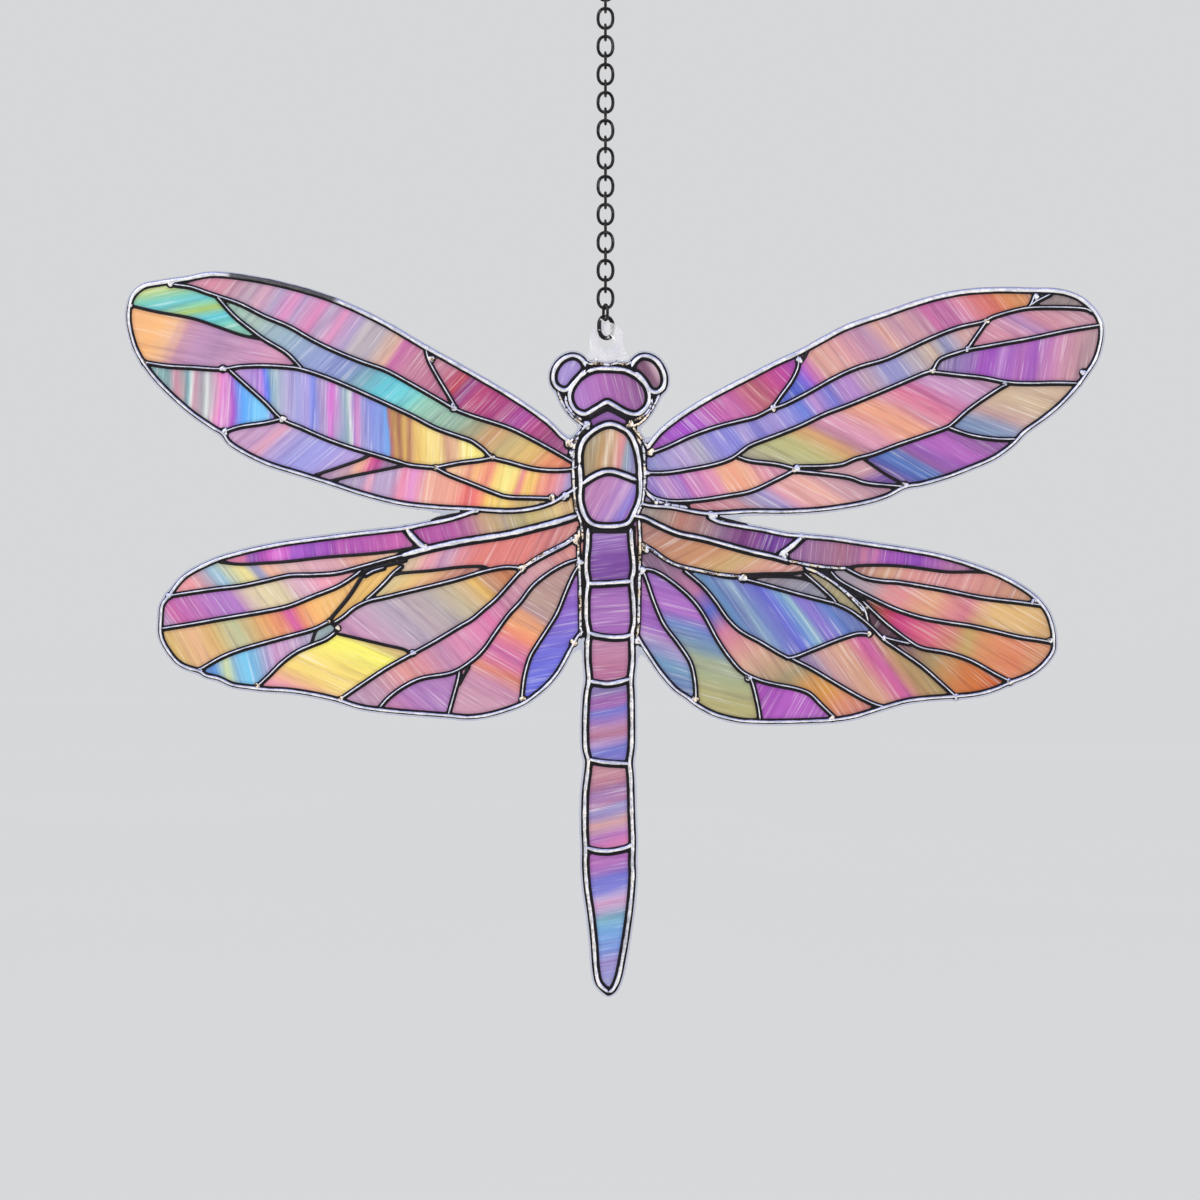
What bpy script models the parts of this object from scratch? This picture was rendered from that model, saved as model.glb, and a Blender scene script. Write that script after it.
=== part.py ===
import math

import bmesh
import bpy
import numpy as np

# Driving sizes, in metres
WING_SPAN = 0.200
SHEET_THICKNESS = 0.0015
LEAD_RELIEF = 0.0004
TAB_RADIUS = 0.00345
TAB_HOLE_RADIUS = 0.00165
LINK_WIRE = 0.0006
OVAL_LENGTH = 0.00484
OVAL_WIDTH = 0.00367
CONNECTOR_WIDTH = 0.0026
LINK_PITCH = 0.00576
LINK_GAP = 0.00025
OVAL_COUNT = 12
TAB_RING_OUTER = 0.0053
TAB_RING_WIRE = 0.0006
TAB_RING_TURN = 50.0
TAB_RING_RISE = 0.0031
HANG_RING_INNER = 0.0100
HANG_RING_WIRE = 0.0010

# Widths of the lead lines and the clear rim, in drawing millimetres (200 of them are the wing span)
EDGE = 1.5
VEIN = 1.1
FINE = 0.7
BODY = 1.6
BOLD = 1.7
BLOB = 2.3
CLEAR_RIM = 0.55
GRID = 0.2
CORNER_ROUNDING = 2
OUTLINE_TOLERANCE = 0.10
CELL_TOLERANCE = 0.11
SMALLEST_CELL = 1.6

# How finely the round shapes are divided, and the distance at which a curve's loose caps are welded
HOLE_SIDES = 20
WIRE_SIDES = 6
LINK_STEPS = 10
TAB_RING_SEGMENTS = 16
HANG_RING_SEGMENTS = 24
WELD_DISTANCE = 0.000001

# Lead lines of the left fore wing: width, then points from the tab's hole, x to the right, y up
LEFT_FORE_WING = (
    (EDGE, ((-7.4, -21.0), (-9.0, -19.3), (-12.5, -16.0), (-20.0, -10.9), (-30.0, -5.1), (-40.0, 0.5),
            (-50.0, 6.0), (-57.5, 9.3), (-65.0, 11.2), (-70.0, 12.5), (-75.0, 13.5), (-80.0, 13.8),
            (-85.0, 13.1), (-88.0, 12.4), (-94.0, 11.8))),
    (EDGE, ((-94.0, 11.8), (-96.0, 10.6), (-97.4, 9.0), (-98.0, 5.0), (-97.4, 1.4), (-96.1, -2.2),
            (-92.0, -8.1), (-86.0, -13.7), (-81.0, -17.2), (-79.0, -18.5), (-77.0, -20.7), (-70.0, -24.7),
            (-62.5, -27.1), (-54.0, -30.1), (-45.0, -32.4), (-40.0, -33.5), (-30.0, -34.1), (-20.0, -34.7),
            (-15.0, -34.2), (-11.5, -33.2), (-8.4, -31.4), (-6.0, -30.4))),
    (VEIN, ((-88.5, 12.0), (-85.2, 11.3), (-83.3, 10.8), (-80.0, 9.5), (-75.0, 7.9), (-70.0, 5.4),
            (-65.0, 3.35), (-57.5, -0.75), (-50.0, -3.95), (-45.0, -5.75), (-40.0, -8.45), (-31.5, -13.3),
            (-27.5, -15.0), (-20.0, -17.4), (-15.0, -19.8), (-10.0, -22.6), (-6.3, -24.5))),
    (VEIN, ((-80.0, 9.5), (-77.9, 7.5), (-73.8, 3.2), (-70.3, 0.8), (-66.0, -1.8), (-63.6, -4.2),
            (-62.1, -5.5))),
    (VEIN, ((-94.5, -4.2), (-90.0, -4.8), (-82.4, -5.2), (-78.6, -5.5), (-75.0, -4.8), (-70.0, -4.7),
            (-65.0, -5.05), (-60.0, -6.1), (-55.0, -8.1), (-50.0, -10.2), (-42.5, -13.7), (-35.0, -17.4),
            (-30.0, -19.3), (-27.5, -20.2), (-23.3, -23.6), (-20.0, -24.5), (-15.0, -25.8), (-11.0, -26.2),
            (-6.0, -25.8))),
    (VEIN, ((-76.9, -5.8), (-75.0, -7.6), (-70.0, -12.2), (-66.3, -15.7), (-60.0, -18.7), (-52.5, -21.4),
            (-47.5, -22.9), (-42.5, -24.4), (-38.0, -25.5), (-34.9, -25.6))),
    (VEIN, ((-34.9, -25.6), (-30.0, -24.7), (-23.3, -23.7))),
    (VEIN, ((-34.9, -25.8), (-30.0, -28.05), (-25.0, -30.1), (-21.2, -31.3), (-17.5, -31.8), (-13.0, -31.8),
            (-10.0, -32.1))),
    (VEIN, ((-78.4, -18.2), (-75.0, -17.2), (-70.0, -16.5), (-66.3, -15.7))),
    (FINE, ((-59.5, -27.3), (-55.0, -25.8), (-49.0, -23.3))),
    (VEIN, ((-56.6, -28.6), (-50.0, -27.0), (-45.0, -26.0), (-40.0, -25.2))),
    (VEIN, ((-97.6, 7.4), (-90.0, 5.75), (-82.4, 4.2), (-75.0, 1.5), (-70.3, 0.5))),
    (VEIN, ((-37.0, -1.6), (-35.9, -4.2), (-34.3, -7.4), (-31.3, -13.0))),
    (BLOB, ((-88.2, 12.2), (-91.0, 12.2))),
    (BLOB, ((-9.0, -31.9), (-7.0, -30.8), (-6.5, -31.6))),
    (BLOB, ((-7.6, -20.6), (-6.8, -22.8), (-6.3, -24.0))),
)

# Lead lines of the right fore wing
RIGHT_FORE_WING = (
    (EDGE, ((9.3, -21.4), (10.9, -18.9), (13.4, -16.7), (17.5, -13.8), (25.0, -9.65), (32.5, -5.9),
            (40.0, -2.15), (45.0, 0.55), (50.0, 3.1), (55.0, 5.0), (60.0, 6.4), (65.0, 8.2), (70.0, 9.5),
            (75.0, 10.3), (80.0, 10.6), (85.0, 10.65), (90.0, 10.5), (92.5, 10.4))),
    (EDGE, ((92.5, 10.4), (95.0, 9.9), (98.5, 8.1), (100.9, 5.6), (101.9, 2.0), (101.1, -2.2),
            (99.0, -6.2), (95.0, -11.3), (90.0, -15.6), (86.0, -18.6), (82.6, -21.9), (77.8, -24.5),
            (70.0, -27.7), (65.0, -29.1), (61.5, -29.6), (57.6, -31.65), (52.6, -33.1), (45.0, -34.3),
            (37.0, -34.8), (28.0, -34.7), (22.5, -35.2), (17.5, -34.7), (13.5, -33.9), (9.4, -33.5),
            (7.4, -33.0))),
    (VEIN, ((9.2, -22.4), (11.6, -21.9), (16.8, -19.6), (20.0, -18.15), (25.0, -16.65), (30.0, -15.6),
            (33.5, -14.0), (35.4, -12.3), (37.1, -9.6), (39.2, -6.2), (39.8, -2.6))),
    (FINE, ((39.8, -5.2), (40.9, -3.2), (42.2, -1.0))),
    (VEIN, ((33.9, -13.7), (36.9, -12.7), (43.3, -9.4), (50.0, -5.8), (57.5, -3.4), (62.5, -1.1),
            (67.5, 1.2), (72.5, 3.1), (77.5, 4.25), (82.5, 6.2), (87.2, 7.3), (92.7, 7.35), (97.0, 7.1),
            (99.7, 6.6))),
    (VEIN, ((87.0, 7.3), (87.9, 8.8), (88.4, 10.2))),
    (FINE, ((87.4, 7.6), (89.7, 9.1), (91.6, 10.0))),
    (VEIN, ((78.0, 4.2), (76.1, 1.2), (74.3, -1.5))),
    (VEIN, ((8.2, -26.8), (12.4, -26.7), (17.5, -25.95), (22.1, -25.0), (27.0, -23.2), (30.0, -21.0),
            (35.0, -19.05), (40.0, -17.15), (47.5, -13.7), (55.0, -10.85), (60.0, -8.55), (66.5, -6.05))),
    (VEIN, ((66.5, -6.1), (67.8, -4.6), (69.4, -3.0), (72.5, -2.25), (77.5, -0.9), (85.0, 0.4),
            (92.5, 1.9), (101.6, 3.6))),
    (VEIN, ((66.5, -6.1), (70.0, -6.45), (77.5, -7.2), (82.5, -8.2), (90.0, -8.4), (97.3, -8.5))),
    (VEIN, ((82.8, -8.5), (80.0, -10.0), (75.0, -13.5), (70.5, -17.3), (65.0, -19.2), (60.0, -20.9),
            (55.0, -22.9), (51.4, -23.8), (48.6, -25.0), (42.5, -25.4), (38.0, -25.9), (33.6, -24.65),
            (27.2, -23.9))),
    (VEIN, ((39.0, -26.3), (35.0, -28.2), (30.0, -30.5), (25.0, -31.5), (18.0, -32.5), (13.5, -32.6),
            (9.4, -31.6), (8.2, -30.2))),
    (VEIN, ((39.0, -26.2), (45.0, -27.0), (51.4, -28.1), (56.2, -29.35), (61.3, -29.6))),
    (FINE, ((53.2, -23.9), (57.5, -27.1), (61.3, -29.2))),
    (VEIN, ((70.6, -17.6), (75.0, -18.95), (80.0, -19.95), (84.3, -20.1))),
    (FINE, ((75.0, -19.6), (80.2, -20.7), (82.8, -21.3))),
    (BLOB, ((98.4, -6.2), (96.6, -7.4))),
    (BOLD, ((97.5, -6.6), (94.8, -7.9))),
    (BLOB, ((9.6, -32.5), (12.4, -33.1))),
    (BLOB, ((9.2, -22.0), (8.6, -24.0))),
)

# Lead lines of the left hind wing
LEFT_HIND_WING = (
    (EDGE, ((-26.8, -34.8), (-31.6, -36.2), (-37.0, -37.4), (-40.5, -38.0), (-47.5, -38.95), (-55.0, -40.0),
            (-62.5, -40.85), (-70.0, -42.15), (-75.0, -43.3), (-80.0, -44.8), (-85.0, -47.2), (-87.5, -49.2),
            (-89.6, -51.9), (-91.1, -54.1), (-91.4, -58.0))),
    (EDGE, ((-91.4, -58.0), (-91.2, -61.0), (-89.9, -63.5), (-87.4, -66.1), (-83.7, -67.4), (-82.0, -68.5),
            (-79.5, -69.1), (-76.6, -70.35), (-73.3, -70.9), (-66.0, -71.6), (-60.0, -72.35), (-53.4, -74.1),
            (-45.0, -75.7), (-35.0, -76.5), (-28.4, -77.0), (-22.8, -76.3), (-17.2, -74.3), (-14.7, -72.7),
            (-11.9, -70.3), (-9.0, -66.5), (-6.8, -62.5), (-5.2, -58.6))),
    (FINE, ((-79.5, -45.1), (-76.7, -45.65), (-72.5, -45.65), (-65.0, -45.0), (-57.5, -44.1), (-50.0, -43.7),
            (-45.0, -43.1), (-41.0, -42.5), (-38.0, -41.9))),
    (BOLD, ((-44.5, -44.2), (-40.0, -43.3), (-35.0, -42.1), (-27.5, -40.6), (-20.0, -39.35), (-12.5, -37.5),
            (-5.6, -35.5))),
    (BOLD, ((-41.0, -38.4), (-39.0, -40.4), (-37.0, -42.2))),
    (VEIN, ((-89.6, -52.1), (-85.0, -51.35), (-77.5, -50.35), (-70.0, -48.95), (-65.0, -47.95),
            (-60.0, -47.6), (-55.0, -47.2), (-50.0, -46.0), (-44.5, -44.5))),
    (VEIN, ((-91.2, -58.8), (-85.0, -57.8), (-77.5, -56.5), (-70.0, -55.2), (-65.0, -54.15), (-60.0, -52.2),
            (-55.0, -50.1), (-50.4, -47.2), (-46.0, -46.0), (-40.0, -44.6))),
    (VEIN, ((-49.6, -47.6), (-52.5, -52.0), (-55.6, -55.9), (-57.0, -57.4))),
    (VEIN, ((-41.0, -45.4), (-43.6, -47.4), (-47.0, -50.95), (-49.3, -53.0))),
    (VEIN, ((-39.0, -50.75), (-45.0, -52.2), (-50.0, -53.7), (-53.1, -55.7), (-55.0, -58.0),
            (-55.2, -59.8))),
    (VEIN, ((-57.0, -57.3), (-60.0, -58.9), (-67.5, -61.05), (-75.0, -63.05), (-79.1, -64.75),
            (-83.5, -67.3))),
    (VEIN, ((-55.2, -59.6), (-58.5, -61.5), (-63.4, -63.5), (-66.6, -65.9), (-71.5, -70.5))),
    (FINE, ((-57.0, -57.5), (-55.4, -58.8))),
    (FINE, ((-59.7, -59.2), (-60.6, -61.9))),
    (FINE, ((-54.8, -60.0), (-47.6, -61.8), (-41.5, -63.0), (-39.5, -63.9))),
    (VEIN, ((-54.5, -73.4), (-50.0, -70.3), (-42.7, -65.8), (-35.0, -61.5), (-27.5, -56.9), (-22.5, -52.8),
            (-18.5, -48.4), (-15.5, -45.6), (-10.0, -42.6), (-4.9, -39.4))),
    (FINE, ((-44.5, -48.2), (-40.0, -47.4), (-32.5, -46.55), (-25.3, -46.1))),
    (VEIN, ((-39.0, -50.75), (-32.5, -49.2), (-25.0, -47.0), (-20.5, -46.1), (-17.0, -46.4))),
    (VEIN, ((-5.6, -44.8), (-8.2, -45.5), (-12.5, -47.9), (-15.0, -50.1), (-17.5, -53.3), (-21.0, -57.2),
            (-23.8, -61.3), (-27.5, -65.4), (-31.1, -67.7), (-37.0, -69.0), (-41.5, -70.8), (-46.4, -74.8))),
    (VEIN, ((-29.6, -67.6), (-30.8, -70.9), (-32.2, -76.4))),
    (BOLD, ((-28.3, -66.7), (-29.8, -68.2))),
    (VEIN, ((-4.9, -45.0), (-6.7, -47.9), (-9.0, -53.2), (-10.8, -57.3), (-15.0, -63.7), (-16.6, -68.3),
            (-17.1, -71.8), (-16.4, -73.4))),
    (BOLD, ((-16.6, -73.6), (-15.2, -72.8))),
    (BLOB, ((-7.6, -41.2), (-5.2, -40.2), (-4.9, -42.4), (-4.9, -44.8))),
    (BLOB, ((-46.8, -44.6), (-43.5, -44.4))),
    (BLOB, ((-5.6, -60.6), (-5.0, -59.0))),
)

# Lead lines of the right hind wing
RIGHT_HIND_WING = (
    (EDGE, ((21.2, -36.0), (25.8, -37.3), (32.2, -38.55), (40.0, -39.85), (47.6, -40.55), (55.0, -41.6),
            (62.5, -42.8), (67.5, -43.7), (75.0, -45.65), (80.0, -47.5), (85.0, -50.15), (89.1, -53.4),
            (91.5, -57.1), (92.1, -61.0))),
    (EDGE, ((92.1, -61.0), (91.9, -63.6), (90.0, -66.2), (87.2, -68.3), (83.2, -69.9), (78.2, -71.9),
            (72.0, -72.8), (66.5, -73.1), (61.9, -73.8), (57.3, -74.95), (52.4, -76.6), (46.5, -77.6),
            (40.0, -77.9), (33.0, -77.95), (27.2, -77.7), (22.8, -76.6), (19.8, -75.15), (17.9, -73.5),
            (15.0, -71.9), (12.0, -68.9), (10.0, -66.1), (7.9, -62.6), (6.8, -60.4))),
    (BOLD, ((6.2, -35.6), (8.0, -36.1), (13.1, -38.6), (20.0, -40.3), (27.5, -42.3), (35.0, -44.1),
            (40.0, -45.4), (45.0, -46.3), (49.5, -46.4))),
    (BOLD, ((40.5, -40.1), (38.3, -41.9), (36.2, -43.8))),
    (FINE, ((49.5, -46.5), (52.1, -45.95), (58.0, -45.85), (65.0, -46.45), (71.9, -47.3), (78.5, -47.3))),
    (VEIN, ((49.5, -46.6), (51.7, -47.7), (57.0, -48.9), (62.9, -49.7), (70.0, -50.9), (77.3, -52.35),
            (85.0, -53.4), (89.6, -53.95))),
    (VEIN, ((46.3, -46.8), (47.1, -48.3), (50.0, -50.1), (56.0, -53.1), (62.5, -55.85), (67.5, -57.0),
            (75.0, -58.2), (82.4, -59.85), (89.6, -61.15), (92.0, -61.7))),
    (FINE, ((46.8, -48.6), (50.0, -51.0), (52.9, -53.3), (56.4, -56.6), (59.6, -59.2), (63.1, -61.9))),
    (VEIN, ((57.4, -60.8), (62.5, -61.9), (67.0, -63.15), (71.9, -64.1), (76.9, -66.3), (83.0, -69.6))),
    (VEIN, ((47.3, -53.6), (51.1, -55.6), (55.0, -58.8), (58.8, -62.2), (63.4, -65.4), (67.9, -68.9),
            (71.9, -72.6))),
    (VEIN, ((40.6, -47.2), (43.1, -49.3), (47.4, -53.5))),
    (VEIN, ((42.6, -46.9), (46.0, -49.5), (50.0, -52.0), (52.4, -54.4), (53.4, -57.0))),
    (FINE, ((28.6, -48.2), (35.0, -48.2), (39.3, -48.4), (42.5, -49.2))),
    (FINE, ((29.0, -47.7), (38.0, -47.9), (40.6, -47.3))),
    (VEIN, ((29.0, -48.6), (34.9, -50.4), (41.7, -52.2), (47.3, -53.7))),
    (BOLD, ((8.4, -42.0), (10.7, -43.5), (13.7, -45.3), (16.7, -46.4))),
    (VEIN, ((16.7, -46.4), (21.6, -47.3), (27.6, -48.2), (29.5, -48.2))),
    (VEIN, ((16.4, -46.9), (20.0, -50.0), (22.7, -53.3), (25.0, -56.5), (27.8, -59.3), (33.7, -62.5),
            (37.9, -64.8), (42.7, -63.15), (49.5, -60.4), (54.0, -59.4))),
    (VEIN, ((37.9, -64.9), (42.3, -67.0), (48.6, -70.7), (55.0, -74.2), (57.3, -75.0))),
    (VEIN, ((6.6, -46.4), (8.8, -46.8), (13.1, -48.7), (17.2, -52.2), (20.0, -55.6), (23.2, -61.3),
            (26.9, -66.5), (31.6, -69.4), (37.0, -70.6), (40.6, -71.5), (43.1, -73.2), (47.1, -77.2))),
    (VEIN, ((7.7, -47.0), (9.4, -51.5), (12.0, -57.9), (15.0, -61.9), (18.1, -67.6), (18.6, -73.2))),
    (VEIN, ((29.0, -68.6), (30.5, -71.1), (31.8, -76.7), (32.0, -77.8))),
    (BOLD, ((28.6, -68.3), (30.2, -69.6))),
    (BLOB, ((8.4, -42.4), (6.6, -41.2), (5.6, -40.4))),
    (BLOB, ((42.0, -46.4), (46.0, -47.3))),
    (BOLD, ((53.6, -55.4), (54.2, -58.2))),
    (BOLD, ((7.4, -46.9), (8.2, -49.0))),
    (BLOB, ((6.6, -60.6), (6.4, -59.0))),
    (BOLD, ((21.0, -35.6), (23.6, -36.6))),
)

# Lead lines of the head, thorax and abdomen
BODY_LINES = (
    (BODY, ((-4.2, -4.6), (-5.0, -3.3), (-7.0, -2.65), (-9.0, -3.65), (-10.4, -6.0), (-10.4, -8.4),
            (-8.8, -10.3), (-7.6, -11.6), (-6.7, -13.6), (-4.9, -14.8), (-2.9, -14.4), (-0.4, -13.0),
            (0.5, -12.6), (1.6, -13.0), (4.3, -14.4), (6.3, -14.9), (8.1, -13.8), (8.8, -12.0),
            (9.3, -10.5), (11.1, -9.9), (12.3, -7.6), (11.9, -5.4), (10.0, -3.4), (7.8, -2.85),
            (5.9, -3.7), (5.2, -4.6))),
    (BODY, ((-4.6, -4.9), (-3.0, -5.5), (0.4, -5.6), (4.0, -5.6), (5.4, -5.0))),
    (BODY, ((-3.6, -5.8), (-5.4, -7.2), (-7.3, -9.4), (-7.8, -11.0))),
    (BODY, ((4.6, -5.8), (6.9, -7.1), (8.6, -9.0), (9.2, -10.6))),
    (BLOB, ((-8.2, -10.8), (-7.9, -12.2), (-6.9, -14.6), (-5.4, -16.0), (-4.0, -17.6))),
    (BOLD, ((9.5, -11.6), (8.9, -13.6), (7.2, -15.8), (5.8, -17.4))),
    (BLOB, ((-5.0, -15.7), (-3.4, -17.4))),
    (BLOB, ((5.6, -15.7), (5.0, -17.2))),
    (BLOB, ((-2.7, -15.0), (0.5, -13.7), (4.2, -15.3))),
    (BODY, ((-5.4, -24.0), (-5.1, -21.4), (-3.75, -19.1), (-1.6, -17.5), (1.1, -16.9), (3.3, -17.5),
            (4.9, -19.1), (6.3, -21.7), (7.0, -25.0), (6.7, -28.0))),
    (BODY, ((-5.4, -24.0), (-5.4, -28.6), (-5.4, -32.0), (-4.6, -35.2), (-3.0, -37.0), (-1.0, -37.75),
            (3.0, -37.85), (4.8, -37.0), (6.2, -34.5), (7.0, -31.8), (6.8, -28.2))),
    (BODY, ((-5.2, -29.0), (-2.7, -27.3), (0.4, -26.5), (3.5, -27.1), (6.5, -28.3))),
    (BOLD, ((4.6, -18.2), (6.4, -19.9), (8.6, -21.0), (9.2, -21.2))),
    (BOLD, ((-4.4, -19.2), (-6.0, -20.6), (-7.4, -20.8))),
    (BOLD, ((7.6, -22.0), (8.0, -25.0), (8.0, -31.0), (7.5, -33.2))),
    (BOLD, ((-5.9, -24.4), (-6.1, -27.0), (-6.0, -30.4), (-5.7, -33.0), (-5.2, -35.5), (-4.6, -38.2))),
    (BODY, ((-3.1, -38.0), (-3.7, -42.5), (-3.9, -47.0), (-3.7, -50.0), (-3.7, -54.0), (-3.5, -58.4),
            (-3.9, -61.2), (-3.8, -65.0), (-3.4, -69.6), (-4.0, -73.0), (-4.0, -80.0), (-3.7, -85.6),
            (-3.6, -88.5), (-4.1, -95.0), (-4.4, -103.4), (-4.2, -107.0), (-3.5, -114.9), (-2.7, -121.5),
            (-2.0, -128.6), (-1.4, -131.8), (-0.4, -133.5), (0.9, -134.0))),
    (BODY, ((5.3, -38.0), (5.8, -43.0), (5.8, -47.0), (5.4, -51.0), (5.8, -57.5), (6.0, -61.0),
            (5.9, -65.4), (5.3, -70.0), (5.4, -78.0), (5.4, -84.4), (5.1, -88.0), (5.4, -95.5),
            (5.8, -103.0), (5.8, -108.0), (5.4, -114.9), (4.7, -121.0), (3.7, -126.8), (2.7, -131.8),
            (1.7, -133.7), (0.9, -134.0))),
    (BOLD, ((-3.4, -49.8), (0.0, -49.75), (5.2, -49.4))),
    (BOLD, ((-3.4, -59.4), (-1.4, -60.3), (2.0, -60.7), (5.6, -60.0))),
    (BOLD, ((-3.4, -70.0), (0.0, -70.6), (3.0, -70.3), (5.2, -69.6))),
    (BOLD, ((-3.5, -86.1), (0.5, -86.5), (5.0, -86.7))),
    (BOLD, ((-4.2, -104.2), (-1.5, -104.8), (2.5, -104.8), (5.6, -104.2))),
    (BOLD, ((-3.4, -38.0), (-4.0, -43.0), (-4.3, -50.0), (-4.6, -57.0), (-4.6, -60.4))),
    (BOLD, ((5.4, -37.6), (5.9, -42.0), (6.6, -47.0), (6.2, -54.0), (6.4, -60.4))),
    (BLOB, ((5.6, -36.6), (7.0, -34.4))),
)

LEAD_LINES = LEFT_FORE_WING + RIGHT_FORE_WING + LEFT_HIND_WING + RIGHT_HIND_WING + BODY_LINES

# The tab's round end and its hole, and the neck that widens into the head between the eyes
TAB_CENTRE = (0.25, 0.67)
TAB_HOLE_CENTRE = (0.1, 0.1)
TAB_NECK = ((0.25, 0.6), (0.3, -2.4), (0.4, -4.8))
TAB_NECK_WIDTHS = (6.7, 7.2, 8.6)

unit = WING_SPAN / 200.0


def clear_scene():
    for item in list(bpy.data.objects):
        bpy.data.objects.remove(item, do_unlink=True)


def named_collection(name):
    group = bpy.data.collections.new(name)
    bpy.context.scene.collection.children.link(group)
    return group


def plain_material(name, colour, metallic, roughness, transmission=0.0):
    material = bpy.data.materials.new(name)
    material.use_nodes = True
    shader = material.node_tree.nodes["Principled BSDF"]
    shader.inputs["Base Color"].default_value = (*colour, 1.0)
    shader.inputs["Metallic"].default_value = metallic
    shader.inputs["Roughness"].default_value = roughness
    shader.inputs["Transmission Weight"].default_value = transmission
    return material


def smooth_line(points, spacing=0.8):
    """Catmull-Rom curve through the points, in steps of about the spacing."""
    p = np.array(points, dtype=float)
    if len(p) == 2:
        return p
    p = np.vstack([2 * p[0] - p[1], p, 2 * p[-1] - p[-2]])
    out = []
    for a, b, c, d in zip(p[:-3], p[1:-2], p[2:-1], p[3:]):
        steps = max(2, int(np.linalg.norm(c - b) / spacing))
        for t in np.arange(steps) / steps:
            out.append(0.5 * (2 * b + (c - a) * t + (2 * a - 5 * b + 4 * c - d) * t**2
                              + (3 * b - a - 3 * c + d) * t**3))
    out.append(p[-2])
    return np.array(out)


class Drawing:
    """A grid over the drawing that holds, at every point, the distance to the nearest lead line's side."""

    def __init__(self, lines):
        every = np.vstack([np.array(points) for width, points in lines])
        self.low = every.min(axis=0) - 6.0
        size = every.max(axis=0) + 6.0 - self.low
        self.columns = int(size[0] / GRID) + 1
        self.rows = int(size[1] / GRID) + 1
        self.field = np.full((self.rows, self.columns), 3.0)
        for width, points in lines:
            curve = smooth_line(points)
            for a, b in zip(curve[:-1], curve[1:]):
                self.draw(a, b, width / 2, width / 2)

    def draw(self, a, b, radius_a, radius_b):
        reach = max(radius_a, radius_b) + 3.0
        i0, j0 = np.floor((np.minimum(a, b) - reach - self.low) / GRID).astype(int).clip(0)
        i1, j1 = np.ceil((np.maximum(a, b) + reach - self.low) / GRID).astype(int)
        x = self.low[0] + GRID * np.arange(i0, min(i1, self.columns))[None, :]
        y = self.low[1] + GRID * np.arange(j0, min(j1, self.rows))[:, None]
        along = b - a
        t = ((x - a[0]) * along[0] + (y - a[1]) * along[1]) / max(along @ along, 1e-9)
        t = t.clip(0.0, 1.0)
        away = np.hypot(x - a[0] - t * along[0], y - a[1] - t * along[1])
        away = away - radius_a - t * (radius_b - radius_a)
        window = self.field[j0:j0 + away.shape[0], i0:i0 + away.shape[1]]
        np.minimum(window, away, out=window)

    def soften(self, times):
        for turn in range(times):
            padded = np.pad(self.field, 1, mode="edge")
            across = (padded[:, :-2] + 2 * padded[:, 1:-1] + padded[:, 2:]) / 4
            self.field = (across[:-2] + 2 * across[1:-1] + across[2:]) / 4

    def loops(self, level):
        """Closed contours of the field at a level, each an array of points in drawing millimetres."""
        inside = self.field < level
        code = (inside[:-1, :-1] + 2 * inside[:-1, 1:] + 4 * inside[1:, 1:] + 8 * inside[1:, :-1])
        table = {1: ((3, 0),), 2: ((0, 1),), 3: ((3, 1),), 4: ((1, 2),), 5: ((3, 2), (1, 0)), 6: ((0, 2),),
                 7: ((3, 2),), 8: ((2, 3),), 9: ((2, 0),), 10: ((2, 1), (0, 3)), 11: ((2, 1),),
                 12: ((1, 3),), 13: ((1, 0),), 14: ((0, 3),)}
        follow = {}
        for j, i in zip(*np.nonzero((code > 0) & (code < 15))):
            sides = ((i, j, 0), (i + 1, j, 1), (i, j + 1, 0), (i, j, 1))
            for start, end in table[int(code[j, i])]:
                follow[sides[start]] = sides[end]
        found = []
        while follow:
            first = next(iter(follow))
            chain = []
            key = first
            while key in follow:
                chain.append(key)
                key = follow.pop(key)
            found.append(np.array([self.crossing(*side, level) for side in chain]))
        return found

    def crossing(self, i, j, upward, level):
        i2, j2 = (i, j + 1) if upward else (i + 1, j)
        f1, f2 = self.field[j, i], self.field[j2, i2]
        t = (level - f1) / (f2 - f1)
        return self.low + GRID * np.array([i + t * (i2 - i), j + t * (j2 - j)])


def area(loop):
    x, y = loop[:, 0], loop[:, 1]
    return 0.5 * float(np.sum(x * np.roll(y, -1) - y * np.roll(x, -1)))


def thin_open(points, tolerance):
    if len(points) < 3:
        return points
    a, b = points[0], points[-1]
    along = b - a
    length = max(float(np.hypot(*along)), 1e-9)
    away = np.abs(along[0] * (points[:, 1] - a[1]) - along[1] * (points[:, 0] - a[0])) / length
    worst = int(np.argmax(away))
    if away[worst] < tolerance:
        return np.array([a, b])
    first = thin_open(points[:worst + 1], tolerance)
    return np.vstack([first[:-1], thin_open(points[worst:], tolerance)])


def thin_loop(loop, tolerance):
    """Fewer points on a closed contour, none farther than the tolerance from it."""
    far = int(np.argmax(np.hypot(*(loop - loop[0]).T)))
    start = int(np.argmax(np.hypot(*(loop - loop[far]).T)))
    turned = np.roll(loop, -start, axis=0)
    far = (far - start) % len(loop)
    first = thin_open(turned[:far + 1], tolerance)
    second = thin_open(np.vstack([turned[far:], turned[:1]]), tolerance)
    return np.vstack([first[:-1], second[:-1]])


def mesh_of(shape):
    """The curve object as a closed mesh object that stands in the same place. The curve is removed."""
    bpy.context.scene.collection.objects.link(shape)
    bpy.context.view_layer.update()
    evaluated = shape.evaluated_get(bpy.context.evaluated_depsgraph_get())
    data = bpy.data.meshes.new_from_object(evaluated)
    mesh = bmesh.new()
    mesh.from_mesh(data)
    bmesh.ops.remove_doubles(mesh, verts=mesh.verts, dist=WELD_DISTANCE)
    mesh.to_mesh(data)
    mesh.free()
    thing = bpy.data.objects.new(shape.name + "_mesh", data)
    thing.matrix_world = shape.matrix_world.copy()
    bpy.data.objects.remove(shape)
    return thing


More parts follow.
